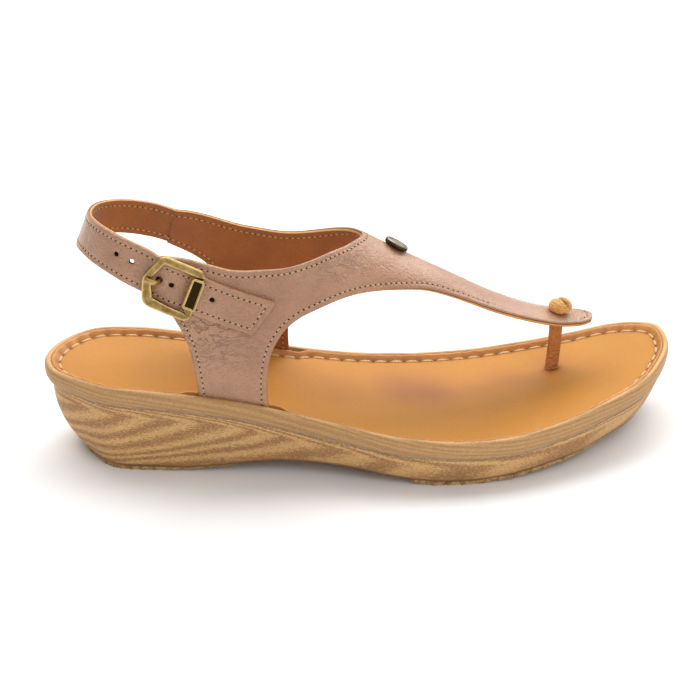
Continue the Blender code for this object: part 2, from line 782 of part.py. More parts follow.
def post_path():
    """Middle line of the toe post, from just over the cup's floor into the knot."""
    bottom = float(cup_floor(POST_X)) + POST_LIFT
    top = float(last_surface(POST_X, 0.0)[2]) + POST_TOP
    share = np.linspace(0.0, 1.0, POST_RINGS)
    height = bottom + (top - bottom) * share
    bend = (1 - share) ** 2
    base_x, base_y = POST_BASE_SHIFT
    return np.column_stack([POST_X + base_x * bend, POST_Y + base_y * bend, height])


def knot_shape(middle, slope):
    """Round knot, flat underneath where it sits on the sloping strap."""
    work = bmesh.new()
    bmesh.ops.create_uvsphere(work, u_segments=20, v_segments=12, radius=0.5)
    points = np.array([tuple(v.co) for v in work.verts]) * np.array(KNOT_SIZE)
    faces = [tuple(v.index for v in face.verts) for face in work.faces]
    work.free()
    points[:, 2] = np.maximum(points[:, 2], slope * points[:, 0] - KNOT_SEAT * KNOT_SIZE[2])
    return points + middle, faces


def box_shape(middle, size, turn=0.0):
    """Box with a turn about the vertical."""
    signs = [(a, b, c) for c in (-0.5, 0.5) for b in (-0.5, 0.5) for a in (-0.5, 0.5)]
    points = np.array(signs) * np.array(size)
    cos, sin = math.cos(math.radians(turn)), math.sin(math.radians(turn))
    x, y, z = points.T
    turned = np.column_stack([x * cos - y * sin, x * sin + y * cos, z])
    faces = [(0, 2, 3, 1), (4, 5, 7, 6), (0, 1, 5, 4), (2, 6, 7, 3), (0, 4, 6, 2), (1, 3, 7, 5)]
    return turned + np.array(middle), faces


def make_toe_post(parent, leather):
    """Toe post through the insole and T-strap, with a split knot on top."""
    strap_top = float(last_surface(POST_X, 0.0)[2])
    slope = 0.5 * float(last_surface(POST_X + 1, 0.0)[2] - last_surface(POST_X - 1, 0.0)[2])
    half = (0.5 * POST_WIDTH, 0.5 * POST_THICKNESS)
    post = solid("toe_post", tube(post_path(), half, 10), leather, parent)
    knot_rise = strap_top + 1.5 * GAP + KNOT_SEAT * KNOT_SIZE[2] + slope * KNOT_SHIFT[0]
    knot_middle = np.array([POST_X + KNOT_SHIFT[0], POST_Y + KNOT_SHIFT[1], knot_rise])
    combine(post, helper("knot", knot_shape(knot_middle, slope), leather, parent), "UNION")
    slit_size = (KNOT_SLIT, 2.0 * KNOT_SIZE[1], KNOT_SIZE[2])
    slit_middle = knot_middle + np.array([KNOT_SLIT_SHIFT, 0.0, 0.45 * KNOT_SIZE[2]])
    slit = box_shape(slit_middle, slit_size, KNOT_SLIT_TURN)
    combine(post, helper("knot_slit", slit, leather, parent), "DIFFERENCE")


def post_slot(parent, leather):
    """Cutter for the slots that the toe post passes through."""
    half = (0.5 * POST_WIDTH + 2 * GAP, 0.5 * POST_THICKNESS + 2 * GAP)
    path = post_path()
    path[0, 2] -= POST_TOP
    return helper("post_slot", tube(path, half, 12), leather, parent)


def make_upper(parent, leather, slot):
    """T-strap and quarters joined with the heel strap, with strap holes and the post's slot."""
    upper = solid("upper", quarter_skin(), leather, parent)
    combine(upper, helper("heel_strap", strap_skin(), leather, parent), "UNION")
    combine(upper, helper("strap_punch", strap_holes(), leather, parent), "DIFFERENCE")
    combine(upper, slot, "DIFFERENCE")


def buckle_place(along, across, rise):
    """Point in the buckle's own directions: along to the heel, across upward, rise outward."""
    cos, sin = math.cos(BUCKLE_TURN), math.sin(BUCKLE_TURN)
    forward = along * cos + across * sin
    upward = across * cos - along * sin + BUCKLE_SHIFT
    middle, way, _, _ = strap_frame(BUCKLE_PLACE)
    _, _, up, _ = strap_frame(BUCKLE_PLACE + BUCKLE_TWIST * forward)
    return middle + forward * way + upward * up + rise * unit(np.cross(up, way))


def frame_path():
    """Middle line of the buckle's frame with its outward direction, every corner rounded."""
    corners = np.array([(row.along, row.across) for row in FRAME_CORNERS])
    path = []
    for index, row in enumerate(FRAME_CORNERS):
        to_last = unit(corners[index - 1] - corners[index])
        to_next = unit(corners[(index + 1) % len(corners)] - corners[index])
        half = 0.5 * math.acos(to_last @ to_next)
        middle = corners[index] + unit(to_last + to_next) * row.radius / math.sin(half)
        reach = row.radius / math.tan(half)
        first, last = (corners[index] + way * reach - middle for way in (to_last, to_next))
        for share in np.linspace(0.0, 1.0, FRAME_CORNER_STEPS):
            way = unit((1 - share) * first + share * last)
            path.append(np.concatenate([middle + row.radius * way, way]))
    return path


def frame_bar_rings():
    """Rings of the buckle's rounded frame: flat bars, lower and thinner at the plate's end."""
    plate_end = FRAME_CORNERS[0]
    width = 0.5 * FRAME_BAR
    low = FRAME_RISE - 0.5 * FRAME_THICKNESS
    rings = []
    for along, across, out_along, out_across in frame_path():
        high = low + FRAME_THICKNESS
        if along < plate_end.along + 0.1 and abs(across) < plate_end.across - 0.9 * plate_end.radius:
            high = FRAME_RISE
        edge = FRAME_BEVEL * (high - low)
        section = ((-width, low + edge), (-width + edge, low), (width - edge, low), (width, low + edge),
                   (width, high - edge), (width - edge, high), (-width + edge, high), (-width, high - edge))
        rings.append(np.array([buckle_place(along + w * out_along, across + w * out_across, rise)
                               for w, rise in section]))
    rings.append(rings[0])
    return rings


def make_buckle(parent, brass):
    """Centre-bar frame, prong and plain plate over the strap."""
    frame = solid("buckle_frame", loft(frame_bar_rings()), brass, parent)
    side = CENTRE_BAR_SIDE
    drop = CENTRE_BAR_DROP
    bend = ((0.0, FRAME_RISE), (0.0, 0.4), (0.6, 0.6 * drop), (2.0, drop))
    upper_half = [(side - step, rise) for step, rise in bend]
    lower_half = [(-across, rise) for across, rise in reversed(upper_half)]
    path = [buckle_place(0.0, across, rise) for across, rise in upper_half + lower_half]
    half = (0.5 * CENTRE_BAR_SIZE, 0.5 * CENTRE_BAR_SIZE)
    combine(frame, helper("centre_bar", tube(path, half, 8), brass, parent), "UNION")
    prong_path = curve_through([buckle_place(p.along, PRONG_SHIFT, p.rise) for p in PRONG], PRONG_STEP)
    prong_half = (0.5 * PRONG_SIZE[0], 0.5 * PRONG_SIZE[1])
    across = strap_frame(BUCKLE_PLACE)[2]
    solid("buckle_prong", tube(prong_path, prong_half, 8, across), brass, parent)
    solid("buckle_plate", plate_skin(), brass, parent)


def plate_skin():
    """Plain plate on the frame's front bar: rounded corners, raised border, sunk field."""
    long, wide, thick = PLATE_SIZE
    along, across = PLATE_PLACE
    low = FRAME_RISE + GAP
    rings = []
    high = low + thick
    profile = ((0.0, low), (0.0, high - PLATE_BEVEL), (PLATE_BEVEL, high), (PLATE_BORDER, high),
               (PLATE_BORDER, high - PLATE_RECESS))
    for inset, rise in profile:
        loop = rounded_loop(0.5 * long - inset, 0.5 * wide - inset, PLATE_CORNER - inset)
        rings.append(np.array([buckle_place(along + a, across + b, rise) for a, b in loop]))
    points, faces = loft(rings)
    count = len(rings[0])
    last = count * (len(rings) - 1)
    return points, faces + [tuple(reversed(range(count))), tuple(range(last, last + count))]


def rounded_loop(half_long, half_wide, radius):
    """Rectangle with rounded corners, as a closed loop."""
    loop = []
    for index, (a, b) in enumerate(((1, 1), (-1, 1), (-1, -1), (1, -1))):
        for angle in np.linspace(90.0 * index, 90.0 * index + 90.0, 4):
            loop.append((a * (half_long - radius) + radius * math.cos(math.radians(angle)),
                         b * (half_wide - radius) + radius * math.sin(math.radians(angle))))
    return loop


def make_stud(parent, brass):
    """Round metal stud on the instep: straight side, flat rim and a slightly sunk top."""
    x = np.array(STUD_X)
    turn = np.array(STUD_TURN)
    middle = last_surface(x, turn)
    outward = last_normal(x, turn)
    along = unit(np.cross(np.array([0.0, 1.0, 0.0]), outward))
    across = np.cross(outward, along)
    radius, height = STUD_RADIUS, STUD_HEIGHT
    profile = ((0.01, GAP), (radius - 0.4, GAP), (radius, GAP + 0.4), (radius, height - 0.35),
               (radius - 0.35, height), (radius - 0.9, height), (radius - 1.2, height - 0.25),
               (0.01, height - 0.2))
    angles = np.arange(STUD_SIDES) * 2 * math.pi / STUD_SIDES
    circle = np.cos(angles)[:, None] * along + np.sin(angles)[:, None] * across
    rings = [middle + r * circle + h * outward for r, h in profile]
    points, faces = loft(rings)
    last = STUD_SIDES * (len(rings) - 1)
    caps = [tuple(reversed(range(STUD_SIDES))), tuple(range(last, last + STUD_SIDES))]
    solid("instep_stud", (points, faces + caps), brass, parent)


def main():
    """Clears the scene and makes every piece."""
    for old in list(bpy.data.objects):
        bpy.data.objects.remove(old)
    edge = sole_plan(SPAN_STEPS).edge
    middle = 0.5 * (edge.min(axis=0) + edge.max(axis=0))
    sandal = bpy.data.objects.new("sandal", None)
    sandal.location = (-middle[0] * MM, -middle[1] * MM, 0.0)
    bpy.context.collection.objects.link(sandal)

    rubber = material("pad_rubber", (0.46, 0.33, 0.19), 0.75)
    wood = material("wedge_woodgrain", (0.42, 0.25, 0.12), 0.55)
    footbed = material("footbed_leather", (0.72, 0.37, 0.12), 0.5)
    leather = material("upper_leather", (0.36, 0.24, 0.21), 0.5)
    thong = material("thong_leather", (0.5, 0.24, 0.08), 0.5)
    brass = material("antique_brass", (0.42, 0.33, 0.16), 0.35, 1.0)

    solid("heel_pad", pad_skin(SOLE[0].lateral_x, HEEL_PAD_FRONT, HEEL_PAD_RINGS), rubber, sandal)
    forefoot = pad_skin(FOREFOOT_PAD_BACK, FOREFOOT_PAD_FRONT, FOREFOOT_PAD_RINGS)
    solid("forefoot_pad", forefoot, rubber, sandal)
    solid("wedge_sole", wedge_skin(), wood, sandal)
    insole = solid("insole", insole_skin(), footbed, sandal)
    slot = post_slot(sandal, leather)
    combine(insole, slot, "DIFFERENCE")
    make_upper(sandal, leather, slot)
    make_toe_post(sandal, thong)
    make_buckle(sandal, brass)
    make_stud(sandal, brass)


main()
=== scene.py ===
"""T-strap wedge sandal: the looks of one right shoe, made round its packed frame.

x runs from heel to toe, y from the outer (lateral) side to the inner (medial) side, and z up.
Shape tables are in millimetres in the shoe's own drawing, and world() puts them in the frame.
Every piece has its place in its mesh and rides on the frame's one body.
"""
import math
from collections import namedtuple

import bmesh
import bpy
import numpy as np
from bpy.props import FloatProperty, FloatVectorProperty, PointerProperty
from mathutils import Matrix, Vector
from mathutils.geometry import delaunay_2d_cdt
from mathutils.kdtree import KDTree

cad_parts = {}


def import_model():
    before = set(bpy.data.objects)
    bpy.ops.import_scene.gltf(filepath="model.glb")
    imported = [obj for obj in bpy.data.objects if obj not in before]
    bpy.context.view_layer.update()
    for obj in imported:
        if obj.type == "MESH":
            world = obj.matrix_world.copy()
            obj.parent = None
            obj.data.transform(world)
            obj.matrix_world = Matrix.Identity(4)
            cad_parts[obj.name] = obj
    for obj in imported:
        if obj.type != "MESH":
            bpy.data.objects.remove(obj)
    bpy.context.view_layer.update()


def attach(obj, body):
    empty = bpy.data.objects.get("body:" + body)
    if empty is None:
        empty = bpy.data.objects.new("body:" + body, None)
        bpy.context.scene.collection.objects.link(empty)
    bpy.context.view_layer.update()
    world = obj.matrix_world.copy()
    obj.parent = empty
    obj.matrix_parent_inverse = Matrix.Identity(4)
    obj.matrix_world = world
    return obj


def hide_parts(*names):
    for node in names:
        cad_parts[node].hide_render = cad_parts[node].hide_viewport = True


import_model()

bl_info = {
    "name": "T-strap Wedge Sandal",
    "version": (1, 0, 0),
    "blender": (4, 5, 0),
    "location": "View3D > Sidebar > Sandal",
    "description": "Builds a leather T-strap wedge sandal and its studio stage, piece by piece",
    "category": "Object",
}

MM = 0.001
GAP = 0.3
BODY = "root"
MERGE_DISTANCE = 1e-6

# Sockets of a node that mixes colours
MIX_FACTOR, MIX_FIRST, MIX_SECOND = 0, 6, 7
MIX_RESULT = 2

# Sole: heights, rim band, cup and outsole pads
CUP_DEPTH = 8.0
RIM_WIDTH = 2.6
RIM_BAND = 9.0
PROUD_DROP = 3.0
CUP_LEAN = 0.2
HEEL_SHARPNESS = 3.8
PAD_THICKNESS = 1.7
PAD_INSET = 0.5
PAD_RAGGED = 0.26
ARCH_BACK = -76.5
ARCH_FRONT = 37.0
ARCH_RISE = 5.2
SPRING_START = 46.0
SPRING_END = 138.0
TOE_SPRING = 7.4
SPRING_POWER = 1.1
HEEL_PAD_FRONT = -50.0
FOREFOOT_PAD_BACK = 20.0
FOREFOOT_PAD_FRONT = 106.0
DRAWING_STEPS = 3
WEDGE_STEPS = 12
INSOLE_STEPS = 20
LAST_STEPS = 16
WALL_RINGS = 16
PAD_STATION = 0.6
PAD_ROW = 31
PAD_SEED = 7
PAD_SHARP = math.radians(50.0)
TREAD_DEPTH = 0.3
TREAD_SHARPNESS = 12
TREAD_REACH = 0.9

# Wood figure on the wall: arcs that open to the heel, with their tips on a line under the groove
FIGURE_AXIS_DROP = 12.0
ArcPoint = namedtuple("ArcPoint", "below back")
FIGURE_ARC = [ArcPoint(*row) for row in (
    (-20.0, 260.0), (-5.0, 60.0), (-2.8, 30.0), (-1.4, 10.0), (0.0, 0.0), (4.6, 8.5), (8.3, 15.5),
    (12.5, 27.5), (16.6, 41.0), (20.0, 55.0), (26.0, 82.0),
)]
FIGURE_TIPS = (-158.0, -140.0, -122.0, -103.0, -84.5, -68.0, -48.0, -36.5, -22.5, 1.0, 26.5, 70.0, 117.0,
               135.0, 160.0, 185.0, 210.0, 235.0, 260.0, 285.0, 310.0, 335.0, 360.0)

# Insole: room for the quarters' feet, and its hand-sewn lip
QUARTER_ROOM = 3.0
ROOM_BLEND = 8.0
LIP_GAP = 0.08
LIP_SEAM_INSET = 2.9
LIP_STITCH_LIFT = 0.15
LIP_STITCH_TILT = 1.6
LIP_STITCH_POINTS = 8
LIP_HOLE_SHARE = 0.45
LIP_PULL = 6
LIP_PINCH = 0.35
LIP_DIP = 0.35
LIP_PUCKER = 0.28
LIP_PUCKER_INSET = 1.6
LIP_SOFTNESS = 1.1
UNDERSIDE_RINGS = 3
DISH_RINGS = 24
POST_DENT = (1.0, 3.0)
POST_DENT_SHADE = 0.9

# Leather: finish numbers of a lined panel, its wall, edges, mesh and seams
OUTER, LINING, OUTER_EDGE, LINING_EDGE, PUNCHED_SHADE = range(5)
LEATHER = 2.3
STRAP_THICKNESS = 2.0
STRAP_TIP_SLANT = 0.32
STRAP_TIP_CORNER = 0.8
STRAP_TIP_SHARE = 0.46
HOLE_SIDES = 20
DEGREE_SPACING = 0.75
OUTLINE_STEP = 1.1
GRID_STEP = (1.5, 1.1)
EDGE_RINGS = (0.25, 0.65, 1.3, 2.0, 2.4, 2.8)
EDGE_ROUND = 0.6
LINING_ROUND = 0.25
HOLE_ROUND = 0.25
EDGE_SPLIT = 0.36
HOLE_SHADE_FLOOR = 1.7
RING_SHARE = 0.85
GRID_ROOM = 0.6
HOLE_ROOM = 0.5
LINING_RELIEF = 0.6
FINE_GRAIN = 0.8
THONG_GRAIN = 0.8
CREASE_SAMPLES = 24
CREASE_REACH = 30.0
SEAM_DEPTH = 0.2
SEAM_WIDTH = 0.4
SEAM_STEP = 0.35
SEAM_END = 89.2
SEAM_SHARE = 0.94
SEAM_LEAST = 4
THREAD_LIFT = 0.12
LINING_THREAD_LIFT = 0.05
LINING_HOLE_SHARE = 0.7

# Toe post and its knot
POST_X = 89.0
POST_Y = 12.5
POST_BASE_SHIFT = (-1.5, 3.0)
POST_LIFT = 1.0
POST_TOP = 3.0
POST_RINGS = 40
POST_WIDTH = 5.6
POST_THICKNESS = 2.6
POST_SLOT_SHIFT = 1.5
POST_SIDES = 32
POST_SQUARE = 0.55
KNOT_SIZE = (10.0, 9.6, 7.0)
KNOT_SHIFT = (1.0, -2.6)
KNOT_SEAT = 0.36
KNOT_SLIT = 0.9
KNOT_SLIT_DEPTH = 2.6
KNOT_SLIT_TURN = 35.0
KNOT_SLIT_SHIFT = 0.8
KNOT_SIDES = 72
KNOT_RINGS = 48

# Buckle: centre-bar frame, prong and plain plate, and the stud
BUCKLE_PLACE = 42.3
BUCKLE_TURN = math.radians(3.0)
BUCKLE_TWIST = 0.3
BUCKLE_SHIFT = 0.05
FRAME_BAR = 3.3
FRAME_THICKNESS = 1.8
FRAME_BEVEL = 0.45
FRAME_CORNER_STEPS = 14
FRAME_GUSSET = 1.0
GUSSET_REACH = 7.0
FRAME_BAR_STEPS = 8
FRAME_SOFT = 0.3
FRAME_CROWN = 0.08
FRAME_CROWN_INSET = 2.2
FRAME_SHOULDER = 0.05
# rubbed share round the frame's section: partly wear, partly a painted highlight on the top bevels and
# painted shade on the underside and inner face
FRAME_RUBBED_AND_PAINTED_LIGHT = (-0.4, -0.3, -0.6, -0.6, -0.2, 0.1, 0.7, 1.0, 0.9, 0.3, 0.25, 0.3, 0.9, 1.0, 0.2)
FRAME_RISE = 3.35
CENTRE_BAR_SIDE = 9.7
CENTRE_BAR_DROP = -1.25
CENTRE_BAR_SIZE = 1.6
CENTRE_BAR_RUBBED = 0.3
BAR_SIDES = 20
PRONG_SIZE = (2.4, 1.3)
PRONG_SHIFT = 0.2
PRONG_ROUND = 0.8
PRONG_SQUARE = 0.75
PRONG_RUBBED = 0.55
PLATE_SIZE = (5.8, 13.6, 1.3)
PLATE_PLACE = (-9.2, 0.8)
PLATE_CORNER = 1.4
PLATE_BORDER = 1.2
PLATE_RECESS = 0.4
STUD_X = 19.2
STUD_TURN = 3.0
STUD_RADIUS = 5.1
STUD_HEIGHT = 2.4
STUD_SIDES = 64

# Stage, in metres: floor, and soft boxes with the setting that holds their power
FLOOR_HALF = 4.0
LIGHT_TARGET = (0.0, 0.0, 0.03)
SoftBox = namedtuple("SoftBox", "name power place size")
SOFT_BOXES = [
    SoftBox("key_box", "key_power", (-0.1, 0.6, 1.1), (1.5, 1.0)),
    SoftBox("front_box", "front_power", (0.3, -1.05, 0.85), (1.2, 0.9)),
    SoftBox("back_box", "back_power", (0.85, 0.7, 0.85), (1.1, 0.8)),
]

# Outer edge of the rim, heel to toe
SoleSection = namedtuple("SoleSection", "lateral_x lateral_y medial_x medial_y")
SOLE = [SoleSection(*row) for row in (
    (-126.8, 7.0, -126.8, 7.0), (-124.7, -4.2, -124.7, 15.8), (-114.5, -15.3, -117.0, 27.1),
    (-104.0, -23.0, -106.0, 35.0), (-86.0, -27.6, -89.0, 36.6), (-62.0, -31.8, -65.0, 33.0),
    (-36.0, -35.8, -36.0, 31.0), (-10.0, -43.3, -8.0, 29.2), (14.0, -50.6, 18.0, 31.2),
    (38.0, -53.8, 46.0, 33.9), (60.0, -52.0, 74.0, 37.2), (84.0, -43.0, 100.0, 39.0),
    (104.0, -32.2, 116.0, 39.6), (121.9, -19.7, 126.8, 36.5), (131.7, -4.8, 134.9, 30.7),
    (137.8, 15.0, 137.8, 15.0),
)]
SPINE_HEEL_SECTION = 4
SPINE_TOE_SECTION = 11

# Top of the rim along the shoe, and how deep the footbed is dished under its lip
RimRow = namedtuple("RimRow", "x height dish")
RIM = [RimRow(*row) for row in (
    (-128.0, 39.5, 2.6), (-100.0, 39.0, 2.9), (-60.0, 36.0, 1.8), (-20.0, 29.0, 0.8), (20.0, 23.0, 1.4),
    (60.0, 21.5, 1.6), (100.0, 25.3, 0.8), (138.0, 32.3, 0.6),
)]

# Section of the rim band, from the cup over the top and down to the wall under the groove
RimPoint = namedtuple("RimPoint", "inset drop")
CUP_LIP = [
    RimPoint(RIM_WIDTH, 2.0),
    RimPoint(RIM_WIDTH, 0.6),
    RimPoint(2.5, 0.25),
    RimPoint(2.2, 0.06),
]
RIM_PROFILE = [RimPoint(*row) for row in (
    (1.75, 0.02), (1.4, 0.0), (0.95, 0.15), (0.5, 0.6), (0.22, 1.2), (0.06, 1.95), (0.0, 2.8),
    (0.02, 3.8), (0.08, 4.8), (0.15, 5.5), (0.36, 5.75), (0.25, 6.05), (0.42, 6.7), (0.7, 7.35),
    (1.15, 7.65), (1.65, 7.9), (1.72, 8.15), (1.58, 8.5), (1.5, RIM_BAND),
)]

# Wall under the band: inset at its foot, power of its curve, and how far the band tucks under
WallShape = namedtuple("WallShape", "taper power tuck")
SIDE_WALL = WallShape(4.8, 1.75, 0.0)
HEEL_WALL = WallShape(15.3, 2.2, 1.8)
TOE_WALL = WallShape(8.8, 1.2, 0.8)

# Thickness of the outsole pads along the shoe
PadRow = namedtuple("PadRow", "x thickness")
PADS = [PadRow(*row) for row in (
    (-88.0, PAD_THICKNESS), (-60.0, 0.4), (HEEL_PAD_FRONT, 0.3), (FOREFOOT_PAD_BACK, 1.2),
    (26.0, PAD_THICKNESS), (76.0, PAD_THICKNESS), (FOREFOOT_PAD_FRONT, 0.3),
)]

# Section of the insole's sewn lip, from its edge inwards, measured from the rim's top
LipPoint = namedtuple("LipPoint", "inset rise")
LIP = [LipPoint(*row) for row in (
    (0.0, -1.2), (0.0, -0.55), (0.14, -0.28), (0.4, -0.12), (0.8, -0.1), (1.2, -0.3), (1.6, -0.7),
    (2.0, -1.2), (2.45, -1.8), (2.9, -2.3), (3.3, -2.25), (4.4, -2.45),
)]
LIP_SEAM_ROW = 9

# Sections of the last: its ridge, its sides as insets from the sole's edge, and its roundness
LastSection = namedtuple("LastSection", "x ridge_y ridge_z lateral_inset medial_inset fullness")
LAST = [LastSection(*row) for row in (
    (-92.0, 2.0, 135.0, 2.9, 2.9, 3.0), (-64.0, 2.0, 130.0, 2.9, 2.9, 3.0),
    (-41.0, 2.0, 118.0, 2.9, 2.9, 2.6), (-18.0, 2.5, 104.0, 4.0, 2.9, 2.3),
    (6.0, 4.0, 91.5, 13.4, 4.0, 2.0), (20.0, 4.0, 83.5, 18.6, 5.0, 2.0),
    (44.0, 3.5, 70.5, 20.7, 5.0, 2.0), (62.0, 5.2, 60.0, 12.0, 4.0, 2.0),
    (80.0, 9.7, 51.2, 5.0, 4.0, 2.0), (106.0, 12.0, 45.5, 3.0, 4.0, 2.0),
)]

# Edges of the T-strap and quarters on the last: place along the foot, and degrees round the
# section from the ridge, lateral foot -90 and medial foot +90
EdgePoint = namedtuple("EdgePoint", "x turn")
COLLAR = [EdgePoint(*row) for row in (
    (-79.0, -59.0), (-71.0, -58.7), (-60.0, -58.0), (-51.0, -56.0), (-41.0, -51.2), (-29.0, -43.7),
    (-18.3, -34.3), (-9.9, -25.9), (-1.3, -16.5), (5.6, 0.0), (1.4, 13.0), (-7.0, 27.0), (-23.0, 43.6),
    (-39.4, 51.9), (-60.0, 57.5), (-69.6, 59.2),
)]
MEDIAL_BACK = [EdgePoint(*row) for row in (
    (-74.4, 70.0), (-69.6, 70.9), (-65.0, 71.6), (-60.5, 72.3), (-57.0, 73.2), (-54.8, 75.6),
    (-53.6, 80.5), (-53.0, 90.0),
)]
MEDIAL_FRONT = [EdgePoint(*row) for row in (
    (-23.0, 90.0), (-23.4, 80.5), (-21.5, 73.5), (-16.5, 64.5), (-8.0, 54.0), (3.0, 44.0), (16.0, 35.4),
    (30.0, 29.0), (45.0, 25.0), (62.0, 21.5), (80.0, 21.0), (92.0, 22.0), (99.5, 17.5), (103.2, 10.0),
    (104.3, 0.0), (103.2, -5.5), (99.5, -9.5), (92.0, -11.8), (80.0, -12.2), (62.3, -15.0),
    (44.6, -20.3), (31.8, -24.1), (19.1, -30.9), (6.3, -37.7), (-7.0, -46.0), (-15.3, -52.3),
    (-23.7, -59.3), (-31.5, -68.3), (-36.5, -78.0), (-37.4, -84.2), (-36.5, -90.0),
)]
LATERAL_BACK = [
    EdgePoint(-64.5, -90.0),
    EdgePoint(-66.0, -86.5),
    EdgePoint(-68.5, -81.6),
    EdgePoint(-74.0, -76.0),
    EdgePoint(-79.0, -71.5),
]

# Inner face of the heel strap: laps that lie on the quarters, and the free loop round the heel
LapRow = namedtuple("LapRow", "x height lift")
LATERAL_LAP = [LapRow(*row) for row in (
    (-35.5, 70.1, 0.5), (-48.0, 74.5, 0.55), (-57.5, 78.3, 0.5), (-65.0, 81.6, 0.55),
    (-74.2, 85.8, 2.4), (-83.5, 90.8, 0.7),
)]
LoopRow = namedtuple("LoopRow", "x y height lean")
HEEL_LOOP = [LoopRow(*row) for row in (
    (-94.0, -20.3, 95.9, 9.0), (-104.0, -8.5, 98.4, 16.0), (-107.4, 4.0, 98.1, 20.0),
    (-102.5, 17.5, 96.5, 15.0), (-92.0, 25.6, 93.6, 9.0), (-79.0, 29.2, 89.6, 6.0),
)]
MEDIAL_LAP = [
    LapRow(-66.0, 85.1, -1.0),
    LapRow(-50.0, 79.4, -1.0),
]

# Width of the strap at lengths from its tip
WidthRow = namedtuple("WidthRow", "place width")
STRAP_WIDTHS = [WidthRow(*row) for row in (
    (0.0, 15.6), (26.0, 15.8), (46.0, 17.0), (61.0, 17.2), (86.0, 15.4), (110.0, 15.2),
)]

# Punched holes of the strap: length from its tip, distance above its middle, radius, and whether
# they are closed at the back by a dark floor of painted shade
StrapHole = namedtuple("StrapHole", "place above radius closed")
STRAP_HOLES = [StrapHole(*row) for row in (
    (25.1, 0.9, 1.0, True), (33.6, 0.9, 1.0, True), (42.6, 0.6, 1.0, True), (47.7, 0.1, 1.35, True),
    (60.8, 1.1, 1.0, False), (67.2, 1.0, 1.0, True),
)]

# Middle line of the buckle's frame: corners and their radius, from the plate's end round to it
FrameCorner = namedtuple("FrameCorner", "along across radius")
FRAME_CORNERS = [
    FrameCorner(-9.6, 9.35, 1.3),
    FrameCorner(7.4, 10.65, 2.4),
    FrameCorner(10.95, 0.8, 6.0),
    FrameCorner(7.2, -9.35, 3.4),
    FrameCorner(-9.6, -9.35, 1.3),
]

# Prong from the centre bar through its strap hole to the top of the heel-side bar
ProngPoint = namedtuple("ProngPoint", "along rise")
PRONG = [ProngPoint(*row) for row in (
    (1.2, -1.4), (2.8, -1.5), (4.2, -1.5), (5.05, -1.0), (5.35, 0.2), (5.55, 1.8), (6.0, 3.7),
    (7.2, 5.0), (9.5, 5.15), (11.4, 5.05),
)]

# Sections of the plate and the stud from the outer edge inwards: inset, drop under the top, and how
# rubbed the metal is, below zero where it is tarnished; on the stud the bright rim is partly a painted
# highlight and the dark side partly painted shade
MetalRing = namedtuple("MetalRing", "inset drop rubbed")
PLATE_PROFILE = [MetalRing(*row) for row in (
    (0.0, PLATE_SIZE[2], 0.3), (0.0, 0.35, 0.6), (0.1, 0.1, 0.9), (0.3, 0.0, 1.0),
    (PLATE_BORDER - 0.25, 0.0, 1.0), (PLATE_BORDER - 0.08, 0.12, 0.8),
    (PLATE_BORDER, PLATE_RECESS, -0.8), (PLATE_BORDER + 0.25, PLATE_RECESS, -1.0),
)]
STUD_PROFILE = [MetalRing(*row) for row in (
    (0.4, STUD_HEIGHT - GAP, -0.8), (0.0, STUD_HEIGHT - GAP - 0.4, -0.8), (0.0, 0.55, -0.6),
    (0.05, 0.3, 0.6), (0.2, 0.08, 1.0), (0.4, 0.0, 1.0), (0.9, 0.0, 1.0), (1.05, 0.08, 0.3),
    (1.2, 0.25, -0.4), (1.5, 0.24, 0.5), (0.5 * STUD_RADIUS, 0.21, 0.8), (STUD_RADIUS - 0.3, 0.2, 0.8),
)]

# Creases of the leather: troughs between two places on the piece's own drawing, with their ridges
Crease = namedtuple("Crease", "from_along from_round to_along to_round width depth")
QUARTER_CREASES = [Crease(*row) for row in (
    (-70.0, -75.0, -55.0, -76.0, 2.4, 0.35), (-67.0, -79.0, -52.0, -77.5, 2.6, 0.30),
    (-52.0, -75.0, -43.0, -79.0, 2.6, 0.22), (-9.0, -30.0, 3.0, -33.5, 1.2, 0.22),
    (-6.0, -27.0, 6.0, -29.0, 1.0, 0.20), (-2.0, -22.5, 10.0, -24.5, 1.0, 0.18),
    (-14.0, -36.0, -4.0, -40.0, 1.3, 0.20), (-20.0, -45.0, -10.0, -47.0, 1.6, 0.20),
    (48.0, -12.0, 50.0, 14.0, 1.6, 0.18), (66.0, -9.0, 67.5, 12.0, 1.5, 0.16),
    (-40.0, 60.0, -30.0, 66.0, 1.8, 0.22), (-52.0, 66.0, -42.0, 71.0, 1.6, 0.22),
    (-53.5, 59.5, -55.5, 69.0, 1.3, 0.40), (-47.5, 58.0, -48.0, 66.0, 1.3, 0.35),
    (-5.5, 34.0, -6.0, 42.0, 1.3, 0.30),
)]
STRAP_CREASES = [Crease(*row) for row in (
    (17.5, -7.0, 16.0, 7.0, 1.1, 0.22), (56.0, -7.0, 57.0, 7.0, 1.2, 0.30),
    (84.0, -6.5, 85.0, 6.5, 1.6, 0.25), (100.0, -6.5, 99.0, 6.5, 1.8, 0.25),
    (119.0, -6.5, 117.0, 6.5, 1.3, 0.45), (131.5, -6.5, 132.0, 6.5, 1.3, 0.40),
    (152.0, -6.5, 153.0, 6.5, 1.5, 0.25), (160.0, -6.5, 158.5, 6.5, 1.4, 0.22),
)]

# Patches where the footbed is darker, worn and painted with shade of its dished ball and of the toe post,
# from above, and where the outer quarter has fine wrinkles with painted shade in their folds, from the
# side: middle, reach in both directions, and strength
Patch = namedtuple("Patch", "x other reach_x reach_other strength")
WORN_AND_SHADED = [
    Patch(29.0, 2.0, 19.0, 14.0, 1.0),
    Patch(50.0, 3.0, 20.0, 12.0, 0.45),
    Patch(70.0, 9.0, 19.0, 11.0, 0.5),
    Patch(87.0, 15.0, 13.0, 10.0, 0.5),
    Patch(4.0, -2.0, 26.0, 16.0, 0.34),
]
CREASED = [
    Patch(-60.0, 67.0, 15.0, 9.0, 1.0),
    Patch(-54.0, 57.0, 14.0, 9.0, 0.55),
    Patch(-6.0, 87.0, 11.0, 7.0, 0.6),
]


